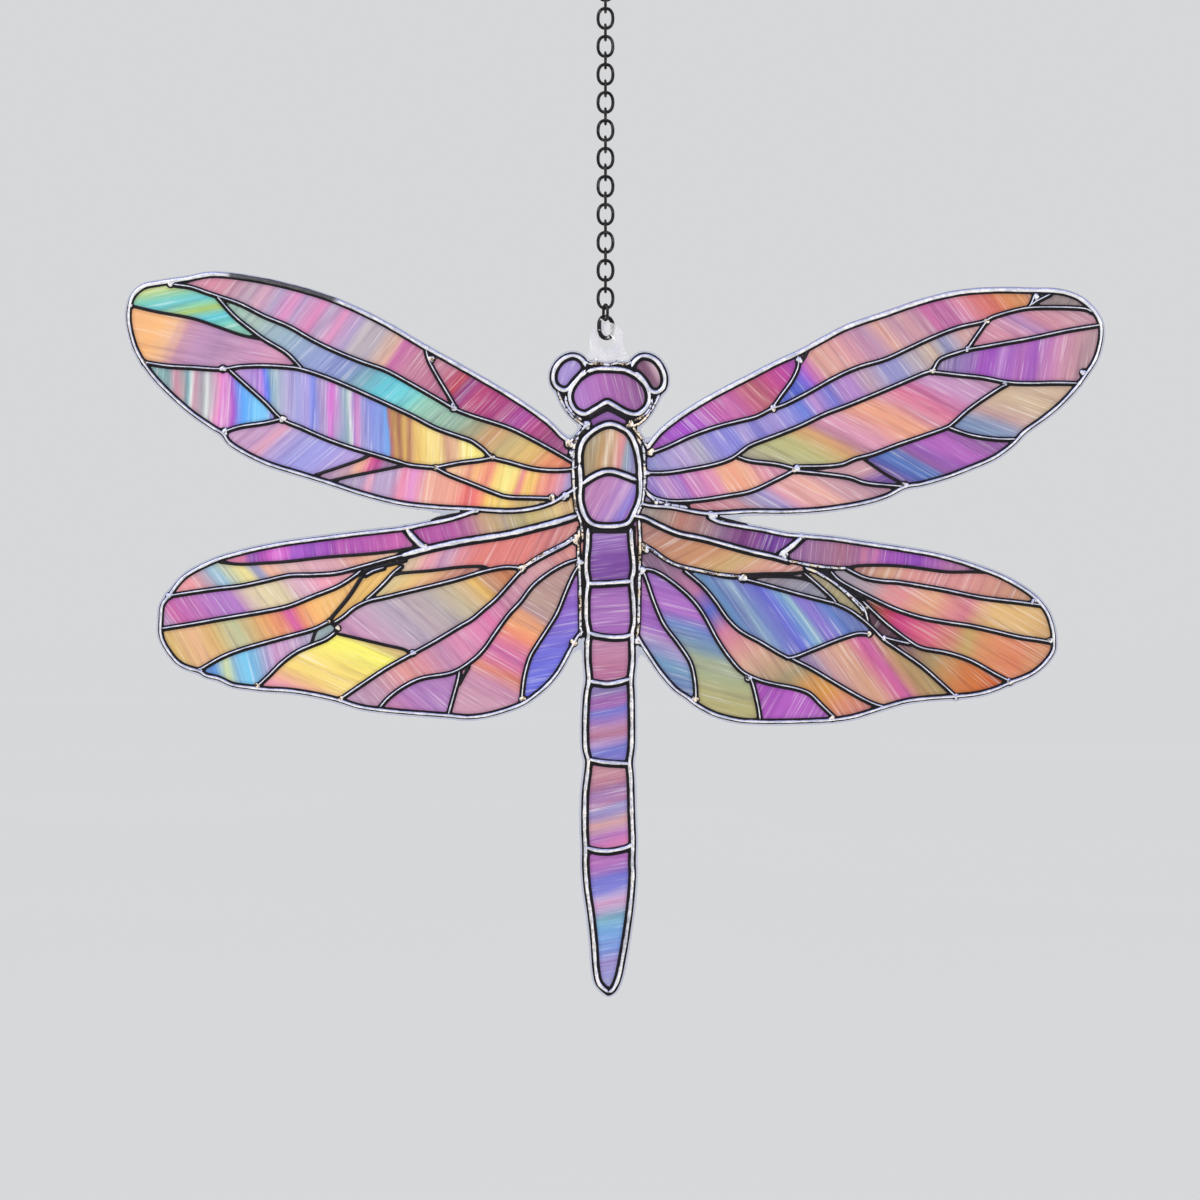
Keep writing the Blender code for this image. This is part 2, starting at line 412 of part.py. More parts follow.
def closed_spline(curve, points):
    spline = curve.splines.new("POLY")
    spline.points.add(len(points) - 1)
    spline.use_cyclic_u = True
    for place, point in zip(spline.points, points):
        place.co = (*point, 1.0)


def flat_plate(name, loops, front, back, height):
    """A plate standing in the XZ plane: the first loop is its outline and the others are openings in it."""
    curve = bpy.data.curves.new(name, "CURVE")
    curve.dimensions = "2D"
    curve.fill_mode = "BOTH"
    curve.extrude = (back - front) / 2
    for loop in loops:
        closed_spline(curve, [(x * unit, z * unit, 0.0) for x, z in loop])
    plate = bpy.data.objects.new(name, curve)
    plate.location = (0.0, (front + back) / 2, height)
    plate.rotation_euler = (math.radians(90.0), 0.0, 0.0)
    return mesh_of(plate)


def acrylic_panel(height):
    """One sheet: its outline with the tab, the tab's hole, and the lead lines that stand up on the front."""
    lead = Drawing(LEAD_LINES)
    lead.soften(CORNER_ROUNDING)
    contours = [loop for loop in lead.loops(0.0) if abs(area(loop)) > SMALLEST_CELL]
    contours.sort(key=lambda loop: -abs(area(loop)))
    lead_outline = thin_loop(contours[0], OUTLINE_TOLERANCE)
    cells = [thin_loop(loop, CELL_TOLERANCE) for loop in contours[1:]]

    lead.field -= CLEAR_RIM
    neck = [np.array(point) for point in TAB_NECK]
    for a, b, wide_a, wide_b in zip(neck[:-1], neck[1:], TAB_NECK_WIDTHS[:-1], TAB_NECK_WIDTHS[1:]):
        lead.draw(a, b, wide_a / 2, wide_b / 2)
    centre = np.array(TAB_CENTRE)
    lead.draw(centre, centre, TAB_RADIUS / unit, TAB_RADIUS / unit)
    lead.soften(CORNER_ROUNDING)
    outline = thin_loop(max(lead.loops(0.0), key=lambda loop: abs(area(loop))), OUTLINE_TOLERANCE)
    turns = np.arange(HOLE_SIDES) * 2 * math.pi / HOLE_SIDES
    hole = TAB_HOLE_CENTRE + TAB_HOLE_RADIUS / unit * np.column_stack([np.cos(turns), np.sin(turns)])

    front = -SHEET_THICKNESS / 2
    back = SHEET_THICKNESS / 2
    panel = flat_plate("acrylic_panel", [outline, hole], front, back, height)
    panel.name = "acrylic_panel"
    relief = flat_plate("lead_relief", [lead_outline] + cells, front - LEAD_RELIEF, 0.0, height)
    panel.data.materials.append(printed_acrylic)
    fusers.objects.link(relief)
    relief.hide_render = True
    relief.display_type = "WIRE"
    union = panel.modifiers.new("lead_relief", "BOOLEAN")
    union.operation = "UNION"
    union.solver = "EXACT"
    union.object = relief
    return panel


def round_ring(name, outer, wire, height, turn, segments, shift=0.0):
    """A ring of round wire; turn is the angle of its plane from the panel's plane, in degrees."""
    bpy.ops.mesh.primitive_torus_add(major_radius=(outer - wire) / 2, minor_radius=wire / 2,
                                     major_segments=segments, minor_segments=WIRE_SIDES,
                                     location=(shift, 0.0, height),
                                     rotation=(math.radians(90.0), 0.0, math.radians(turn)))
    ring = bpy.context.object
    ring.name = name
    ring.data.materials.append(blackened_metal)
    ring.data.shade_smooth()
    for holder in list(ring.users_collection):
        holder.objects.unlink(ring)
    return ring


def wire_link(name, length, width, height, turn):
    """A closed link of round wire; turn is the angle of its plane from the panel's plane, in degrees."""
    half_wide = (width - LINK_WIRE) / 2
    straight = (length - width) / 2
    curve = bpy.data.curves.new(name, "CURVE")
    curve.dimensions = "3D"
    curve.bevel_depth = LINK_WIRE / 2
    curve.bevel_resolution = (WIRE_SIDES - 4) // 2
    points = []
    for k in range(LINK_STEPS):
        phi = 2 * math.pi * (k + 0.5) / LINK_STEPS
        across = half_wide * math.cos(phi)
        up = half_wide * math.sin(phi)
        points.append((across, 0.0, up + math.copysign(straight, up)))
    closed_spline(curve, points)
    shape = bpy.data.objects.new(name, curve)
    shape.location = (0.0, 0.0, height)
    shape.rotation_euler = (0.0, 0.0, math.radians(turn))
    link = mesh_of(shape)
    link.name = name
    link.data.materials.append(blackened_metal)
    link.data.shade_smooth()
    return link


clear_scene()
suncatcher = named_collection("acrylic_suncatcher")
fusers = named_collection("union_shapes")
printed_acrylic = plain_material("printed_acrylic", (0.62, 0.42, 0.68), 0.0, 0.18)
blackened_metal = plain_material("blackened_metal", (0.03, 0.03, 0.035), 1.0, 0.35)

# Heights run down from the hanging point, which is the inside top of the end ring
hang_ring_height = -HANG_RING_INNER / 2
hang_ring_foot = -HANG_RING_INNER
clear_inside = OVAL_LENGTH / 2 - LINK_WIRE
connector_length = LINK_PITCH - 2 * clear_inside + 2 * LINK_GAP + 2 * LINK_WIRE
first_connector_height = hang_ring_foot + LINK_GAP + LINK_WIRE - connector_length / 2
top_oval_height = first_connector_height - LINK_PITCH / 2
lowest_oval_height = top_oval_height - (OVAL_COUNT - 1) * LINK_PITCH
tab_ring_clear = TAB_RING_OUTER / 2 - TAB_RING_WIRE
tab_ring_height = lowest_oval_height - clear_inside - tab_ring_clear + 2 * LINK_GAP + 2 * LINK_WIRE
tab_ring_height = tab_ring_height - connector_length
panel_height = tab_ring_height - TAB_RING_RISE
lowest_connector_turn = (TAB_RING_TURN + 180.0) / 2

hang_ring_outer = HANG_RING_INNER + 2 * HANG_RING_WIRE
pieces = [
    acrylic_panel(panel_height),
    round_ring("hang_ring", hang_ring_outer, HANG_RING_WIRE, hang_ring_height, 0.0, HANG_RING_SEGMENTS),
    round_ring("tab_ring", TAB_RING_OUTER, TAB_RING_WIRE, tab_ring_height, TAB_RING_TURN,
               TAB_RING_SEGMENTS, shift=TAB_HOLE_CENTRE[0] * unit),
]
for number in range(OVAL_COUNT):
    height = lowest_oval_height + number * LINK_PITCH
    name = "chain_oval_%02d" % (number + 1)
    pieces.append(wire_link(name, OVAL_LENGTH, OVAL_WIDTH, height, 0.0))
for number in range(OVAL_COUNT + 1):
    height = lowest_oval_height + (number - 0.5) * LINK_PITCH
    if number == OVAL_COUNT:
        height = first_connector_height
    name = "chain_connector_%02d" % (number + 1)
    turn = lowest_connector_turn if number == 0 else 90.0
    pieces.append(wire_link(name, connector_length, CONNECTOR_WIDTH, height, turn))
for piece in pieces:
    suncatcher.objects.link(piece)
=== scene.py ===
import math

import bmesh
import bpy
import numpy as np
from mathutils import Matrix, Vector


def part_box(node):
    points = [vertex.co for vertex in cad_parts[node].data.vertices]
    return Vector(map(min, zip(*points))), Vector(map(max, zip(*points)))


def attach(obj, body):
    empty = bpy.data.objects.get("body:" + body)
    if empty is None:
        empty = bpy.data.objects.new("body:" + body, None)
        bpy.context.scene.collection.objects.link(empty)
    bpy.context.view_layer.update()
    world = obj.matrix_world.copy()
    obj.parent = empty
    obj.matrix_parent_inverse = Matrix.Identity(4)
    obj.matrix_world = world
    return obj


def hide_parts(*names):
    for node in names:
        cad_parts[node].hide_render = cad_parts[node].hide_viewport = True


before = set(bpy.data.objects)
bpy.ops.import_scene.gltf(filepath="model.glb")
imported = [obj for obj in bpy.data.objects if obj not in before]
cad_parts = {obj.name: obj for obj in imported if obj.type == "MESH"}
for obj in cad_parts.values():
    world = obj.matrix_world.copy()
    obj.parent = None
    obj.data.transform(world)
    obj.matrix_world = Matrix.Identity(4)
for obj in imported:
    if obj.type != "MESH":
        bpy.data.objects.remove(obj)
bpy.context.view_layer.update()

# The camera looks square at the panel from in front. It takes in 246.9 mm across at the panel,
# and its middle is a little left of the chain and between the wings.
MM = 0.001
RING_RISE = 3.1
ring_low, ring_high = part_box("tab_ring")
hole_height = (ring_low.z + ring_high.z) / 2 - RING_RISE * MM
VIEW_WIDTH = 0.2469
LENS = 85.0
VIEW_MIDDLE = (-1.13, -52.98)
camera_data = bpy.data.cameras.new("camera")
camera_data.lens = LENS
camera_data.sensor_width = 36.0
camera = bpy.data.objects.new("camera", camera_data)
camera.location = (VIEW_MIDDLE[0] * MM, -VIEW_WIDTH * LENS / 36.0, hole_height + VIEW_MIDDLE[1] * MM)
camera.rotation_euler = (math.radians(90.0), 0.0, 0.0)
bpy.context.scene.collection.objects.link(camera)
bpy.context.scene.camera = camera
bpy.context.scene.view_settings.view_transform = "Standard"

# The acrylic panel's drawing: the middle of every lead line, in millimetres from the tab's hole, x to the
# right and y up. Each line is a smooth curve through its points. A kind gives half the silver crown's width,
# half the dark border's width, and how far the border sits below the crown. The dark border is print, and
# moving it below the crown adds a painted shadow under the raised line. A wedge is drawn on the clear
# sheet, so it has no border.
KINDS = {
    "rim": (0.28, 0.62, 0.00),
    "vein": (0.16, 0.55, 0.14),
    "wide": (0.50, 0.95, 0.14),
    "body": (0.42, 0.92, 0.06),
    "rail": (0.38, 0.88, 0.02),
    "bar": (0.40, 0.80, 0.20),
    "strand": (0.28, 0.50, 0.05),
    "fine": (0.00, 0.30, 0.00),
    "black": (0.00, 0.62, 0.00),
    "dark": (0.00, 0.40, 0.00),
    "wedge": (0.00, 0.42, 0.00),
    "bold": (0.32, 0.80, 0.12),
}
LEFT_FORE_WING = (
    ("rim", (-7.2, -20.6), (-9, -19.35), (-12.5, -16), (-20, -10.9), (-30, -5.1), (-37.5, -.9), (-45, 3.5),
     (-52.5, 7.2), (-60, 10), (-70, 12.5), (-80, 13.8), (-86, 12.9), (-92, 12), (-95, 11.3), (-97.2, 9.2),
     (-98, 5.5), (-97.4, 1.4), (-95.8, -2.8), (-92, -8), (-86, -13.7), (-81, -17.3), (-78.6, -18.8),
     (-76.6, -21.2), (-70, -24.7), (-62.5, -27.1), (-57, -28.8), (-50, -31.1), (-42.5, -33), (-35, -33.9),
     (-27.5, -34.3), (-20, -34.7), (-15, -34.2), (-11, -33), (-8, -31.2), (-5.8, -29.8)),
    ("vein", (-88.8, 11.9), (-85.2, 11.4), (-82, 10.3), (-79.6, 9.5), (-75, 7.9), (-70, 5.4), (-65, 3.3),
     (-60, .45), (-55, -1.95), (-50, -3.95), (-45, -5.75), (-40, -8.45), (-35, -11.3), (-31.2, -13.5),
     (-27.5, -15), (-20, -17.45), (-15, -19.85), (-10, -22.6), (-6.6, -24.6)),
    ("vein", (-79.8, 9.4), (-76.2, 5.4), (-72.5, 2.4), (-70.2, .7), (-66, -1.8), (-64, -3.6), (-62.4, -5.4)),
    ("vein", (-94.6, -4.1), (-90, -4.8), (-85, -5.1), (-79, -5.45), (-75, -4.9), (-70, -4.74), (-65, -5.05),
     (-62.1, -5.55), (-57.4, -7.1), (-52.6, -9.1), (-47.5, -11.4), (-40, -14.9), (-35, -17.5), (-30, -19.3),
     (-27.5, -20.2), (-25, -22), (-23.3, -23.6), (-20, -24.5), (-15, -25.85), (-11, -26.25), (-7.2, -26.1),
     (-5.8, -25.5)),
    ("vein", (-77.3, -5.6), (-75, -7.7), (-70, -12.2), (-66.5, -15.7), (-62.5, -17.5), (-57.5, -19.7),
     (-52.5, -21.5), (-47.5, -23), (-42.5, -24.5), (-40, -25.2), (-35, -25.7)),
    ("vein", (-35, -25.7), (-30, -24.7), (-26, -24.2), (-23.3, -23.7)),
    ("vein", (-35, -25.7), (-32.1, -27.2), (-27.5, -29), (-23, -30.8), (-20, -31.7), (-15, -31.9),
     (-11, -32)),
    ("vein", (-78.3, -18.3), (-75, -17.25), (-70, -16.5), (-66.6, -15.7)),
    ("fine", (-59.6, -27.3), (-55, -25.8), (-50.2, -24.1), (-48.4, -23.2)),
    ("fine", (-56.8, -28.6), (-52.5, -27.6), (-47.5, -26.6), (-42.5, -25.6), (-40.2, -25.2)),
    ("fine", (-97.6, 7.5), (-92.1, 6.2), (-85, 4.9), (-80, 3.25), (-75, 1.5), (-70.3, .5)),
    ("vein", (-36.9, -1.6), (-36.2, -3.9), (-34.3, -7.4), (-31.9, -11.4), (-30.8, -13.4)),
)
RIGHT_FORE_WING = (
    ("rim", (8.6, -22), (9.6, -20.6), (11.5, -18.4), (15, -15.6), (20, -12.4), (25, -9.65), (30, -7.1),
     (35, -4.5), (40, -2.2), (45, .55), (50, 3.1), (57.5, 5.65), (65, 8.2), (72.5, 10), (80, 10.6),
     (87.5, 10.5), (93, 10.3), (97, 9.1), (99.8, 6.9), (101.5, 4.35), (101.9, 2), (101.5, -.8),
     (100.6, -3.6), (98.9, -6.3), (96.5, -9.5), (93.5, -12.7), (90, -15.6), (86.1, -18.4), (83.8, -20.8),
     (80, -23.6), (75, -25.8), (70, -27.7), (65, -29.1), (61.5, -29.7), (57.65, -31.65), (52.6, -33.1),
     (45, -34.3), (37.2, -34.8), (30, -34.75), (25, -35.05), (21, -35.2), (17.5, -34.7), (13.5, -33.9),
     (9.5, -33.6), (7, -33.1)),
    ("vein", (9, -22.8), (12.5, -21.5), (17.5, -19.2), (22.5, -17.4), (27.5, -16.1), (31, -15.2),
     (34, -13.7), (36.9, -12.7), (41.6, -10.3), (47.3, -7.1), (52.1, -5), (57.5, -3.4), (62.5, -1.1),
     (67.5, 1.2), (72.5, 3.1), (77.5, 4.25), (80, 5.4), (85, 6.8), (88.5, 7.2), (94.7, 7.2), (98.6, 6.9),
     (100, 6.2)),
    ("vein", (34.2, -13.6), (36, -11), (38.3, -7.8), (39.6, -4.9), (39.5, -2.7)),
    ("fine", (39.9, -4.4), (40.9, -3.2), (42, -1)),
    ("vein", (87, 7.2), (87.7, 8.4), (88.2, 9.9)),
    ("vein", (87.4, 7.6), (88.8, 8.6), (91.4, 9.9)),
    ("vein", (78.2, 4.2), (76.1, 1.2), (74.3, -1.4)),
    ("vein", (7.9, -26.8), (12.4, -26.75), (17.5, -26), (22.5, -25), (25.9, -23.8), (28.2, -22.2),
     (30, -21), (35, -19.1), (40, -17.1), (45, -14.7), (50, -12.8), (57.5, -9.7), (65, -6.5), (67.2, -5.7),
     (68.2, -4), (69.6, -3), (74.3, -1.5), (77.5, -.9), (82.5, 0), (87.5, .9), (95, 2.5), (101.7, 3.6)),
    ("vein", (67, -6), (72.5, -6.65), (77.5, -7.2), (82.8, -8.2), (87.5, -8.4), (92.5, -8.3), (97, -8.4)),
    ("vein", (82.6, -8.5), (80, -10), (75, -13.45), (71.5, -16.5), (70, -17.5), (65, -19.3), (60, -21),
     (55, -22.9), (51.4, -23.85), (48.6, -25), (45, -25.4), (39.5, -25.5)),
    ("vein", (27.2, -23.5), (30, -24.35), (35, -24.95), (38.9, -25.9)),
    ("vein", (38.9, -26.2), (35, -28.2), (30, -30.5), (25, -31.5), (18.95, -32.4), (13.5, -32.6),
     (9.9, -31.8), (8, -30.2)),
    ("vein", (39.2, -26.4), (45, -27), (50, -27.7), (53.8, -28.9), (61, -29.6)),
    ("fine", (53, -24), (57.5, -27.1), (61.3, -29.2)),
    ("vein", (70.6, -17.5), (75, -19), (80, -19.8), (84.3, -19.9)),
)
LEFT_HIND_WING = (
    ("rim", (-26.8, -34.7), (-31.6, -36.3), (-37.15, -37.45), (-42, -38.4), (-50, -39.3), (-57.5, -40.25),
     (-65, -41.25), (-70, -42.15), (-75, -43.3), (-80, -44.8), (-85, -47.2), (-87.5, -49.2), (-89.8, -52.3),
     (-91.1, -54.1), (-91.4, -57.2), (-91.4, -60), (-90.5, -62.4), (-88.1, -65.6), (-85.8, -66.9),
     (-83.4, -67.6), (-82, -68.5), (-79.5, -69.1), (-76.6, -70.4), (-73.3, -70.9), (-70, -71.3),
     (-65, -71.6), (-60, -72.35), (-55, -73.5), (-50, -75), (-42.7, -75.9), (-35, -76.5), (-32.2, -76.7),
     (-28.3, -77.05), (-24.3, -76.6), (-20, -75.4), (-17, -74.2), (-15, -72.9), (-11.9, -70.3),
     (-9.5, -67.3), (-7.3, -63.3), (-5.8, -60.6), (-4.6, -59.4)),
    ("fine", (-79.3, -45.2), (-75, -45.65), (-70, -45.4), (-65, -45.05), (-57.5, -44.2), (-50, -43.65),
     (-45, -43.15), (-40.8, -42.5), (-37.4, -41.9)),
    ("vein", (-90, -52.1), (-85, -51.3), (-80, -50.6), (-75, -50), (-70, -48.95), (-65, -47.85),
     (-60, -47.7), (-55, -47.3), (-50, -46), (-45, -44.6), (-40, -43.3)),
    ("wide", (-42, -43.9), (-40, -43.3), (-36.2, -42.3), (-30, -41), (-25, -40.2), (-20, -39.4),
     (-15, -38.2), (-10, -36.9), (-5.8, -35.6)),
    ("wide", (-41, -38.3), (-39.6, -40), (-38, -41.6), (-36.6, -42.3)),
    ("vein", (-91.2, -58.8), (-85, -57.8), (-80, -56.9), (-75, -56.05), (-70, -55.2), (-65, -54.1),
     (-60, -52.1), (-55, -50.1), (-51.5, -47.9), (-50.3, -46.9)),
    ("dark", (-49.9, -47.9), (-52.5, -52), (-55.6, -55.8), (-57, -57.4)),
    ("vein", (-49.3, -47.8), (-47.6, -46.9), (-45.5, -46.3)),
    ("dark", (-50, -47), (-45.5, -46), (-41, -44.9)),
    ("vein", (-41.9, -46), (-43.6, -47.4), (-45.1, -49.05), (-47, -50.95), (-49.3, -53)),
    ("fine", (-44.6, -48.3), (-42.1, -47.5), (-36.2, -47), (-30, -46.25), (-25.3, -46.1), (-23.8, -46.7)),
    ("vein", (-16.9, -46.4), (-20.5, -46.15), (-25, -47), (-30, -48.5), (-35, -49.8), (-40, -51),
     (-45, -52.25), (-48.7, -53.1), (-51.6, -54.5), (-53.9, -56.4), (-55.8, -57.6)),
    ("vein", (-56.9, -57.4), (-60, -58.9), (-65, -60.3), (-70, -61.65), (-75, -63.1), (-79.1, -64.75),
     (-83.5, -67.3)),
    ("vein", (-55.6, -59.6), (-57.5, -61), (-60, -62), (-63.4, -63.5), (-66.55, -65.8), (-69.2, -68.45),
     (-71.6, -70.7)),
    ("fine", (-56.2, -57.9), (-55.3, -58.7), (-55.7, -59.8)),
    ("fine", (-59.5, -59.2), (-60.4, -61.8)),
    ("fine", (-54.7, -60), (-50, -61.1), (-45, -62.3), (-41.5, -63.1), (-39.9, -64)),
    ("vein", (-54.5, -73.3), (-50, -70.2), (-45, -66.9), (-39.6, -63.9), (-35, -61.35), (-30, -58.35),
     (-27.5, -56.9), (-25, -54.8), (-22.5, -52.65), (-20, -49.9), (-17, -46.6), (-15, -45.25),
     (-12.5, -43.8), (-8.2, -41.6), (-5.5, -39.8)),
    ("vein", (-46.4, -75), (-44.5, -72.9), (-41.5, -70.7), (-37.7, -68.95), (-31.5, -67.8), (-27.5, -65.4),
     (-25, -63), (-22.8, -59.85), (-20, -56), (-17.5, -53.3), (-15, -50.05), (-11.6, -47.3), (-8.2, -45.4),
     (-5.8, -44.6)),
    ("vein", (-30, -67.6), (-30.3, -69.3), (-31.2, -72.6), (-32.3, -76.5)),
    ("fine", (-28, -66.8), (-29.2, -68.8), (-30, -70.4)),
    ("vein", (-17.2, -73.2), (-17, -71), (-16.6, -68.3), (-15.6, -64.8), (-14.15, -62.25), (-11.9, -58.8),
     (-9.9, -55.5), (-8.2, -51.3), (-6.7, -47.9), (-5.2, -45.4)),
)
RIGHT_HIND_WING = (
    ("rim", (21.2, -35.9), (23.5, -37), (27.9, -37.85), (32.15, -38.55), (37.4, -39.6), (41, -39.9),
     (47.3, -40.5), (52.45, -41.3), (60, -42.4), (67.5, -43.7), (72.5, -45), (77.3, -46.6), (82, -48.5),
     (86.6, -51.2), (89.1, -53.4), (90.8, -55.7), (91.8, -58.6), (92.15, -61.5), (91.9, -63.6),
     (90, -66.2), (87.2, -68.3), (83.2, -69.9), (80, -71.3), (76.3, -72.3), (72.1, -72.75), (66.5, -73.15),
     (62, -73.7), (58.1, -74.75), (54.1, -76), (50.7, -77), (46.5, -77.6), (40, -77.9), (33.7, -78),
     (30.4, -77.9), (27.4, -77.7), (22.6, -76.5), (18.8, -74.5), (16.9, -73), (14.3, -71.2), (11.4, -67.9),
     (9, -64.4), (7.2, -61.6), (6.4, -60)),
    ("bold", (5.6, -35.6), (8, -36.1), (11.1, -37.6), (15, -39.25), (20, -40.3), (25, -41.65), (30, -43),
     (34.5, -44), (37.6, -44.9)),
    ("strand", (37.6, -44.9), (42.7, -45.9), (47.6, -46.4), (49.5, -46.4)),
    ("wide", (40.4, -40), (38.3, -41.9), (35.7, -43.8)),
    ("fine", (49.5, -46.4), (52.05, -45.95), (57.4, -45.86), (62.5, -46.2), (70, -47.2), (75.5, -47.2),
     (79, -47.4)),
    ("vein", (49.5, -46.5), (53.2, -48.3), (57, -49), (60, -49.2), (65, -50), (70, -50.9), (77.3, -52.4),
     (85, -53.35), (89.6, -54)),
    ("vein", (46.3, -47.1), (48.1, -48.9), (52.05, -51.1), (56, -53.1), (60, -54.9), (65, -56.5),
     (70, -57.45), (75, -58.2), (80, -59.3), (85, -60.5), (89, -61.1), (91.8, -61.6)),
    ("vein", (52.85, -53.2), (55.2, -55.45), (58, -58), (62.1, -61.1), (65, -62.75), (70.1, -63.7),
     (75, -65.3), (80, -68.05), (83, -69.6)),
    ("vein", (57.2, -60.6), (60, -61.35), (62.6, -61.9)),
    ("vein", (47, -53.5), (50, -54.9), (52.45, -56.6), (55, -58.8), (57.4, -61.2), (60, -63), (65, -66.5),
     (69.2, -70.2), (71.9, -72.7)),
    ("vein", (40.8, -47.4), (43.1, -49.3), (46.5, -52.4), (47.4, -53.5)),
    ("vein", (46.9, -49.3), (50, -51.7), (52.05, -53.5), (53.2, -54.8), (54, -57.4)),
    ("black", (44, -47), (48, -49.3), (53, -52.5)),
    ("black", (45, -47.6), (49.5, -51), (51.8, -52.7)),
    ("fine", (28.8, -48.2), (34, -48.15), (39.3, -48.4), (43.1, -49.4)),
    ("vein", (28.8, -48.7), (33, -49.8), (39.5, -51.6), (47.2, -53.6)),
    ("vein", (7.4, -41.6), (9.2, -42.3), (12.3, -44.5), (15, -45.8), (20, -46.95), (25, -48),
     (28.4, -48.1)),
    ("fine", (28.4, -47.8), (33, -47.6), (38.5, -47.5), (40.8, -47.2)),
    ("vein", (16.3, -46.9), (20, -50.05), (22.7, -53.3), (25, -56.6), (27.8, -59.3), (32, -61.65),
     (36.4, -64.25), (38.3, -64.75), (42.7, -63.1), (47.4, -61.2), (51.6, -59.85), (54.2, -59.9)),
    ("vein", (38.3, -65), (42.3, -67), (46.5, -69.5), (51.8, -72.6), (55, -74.2), (57.3, -74.9)),
    ("vein", (7.2, -46.5), (10, -46.9), (13.1, -48.7), (17.2, -52.1), (20, -55.6), (23.15, -61.3),
     (25.7, -65), (28.2, -67.7), (31.6, -69.35), (35, -70.25), (38.9, -71), (41.9, -72.1), (44.4, -74.5),
     (47.2, -77.2)),
    ("vein", (7.7, -46.9), (8.6, -49.2), (10, -53.3), (12, -57.85), (15, -61.9), (17.45, -65.7),
     (18.4, -69.7), (18.6, -73.4)),
    ("vein", (29.2, -68.4), (30.2, -70), (31.3, -74.4), (31.8, -77.5)),
)
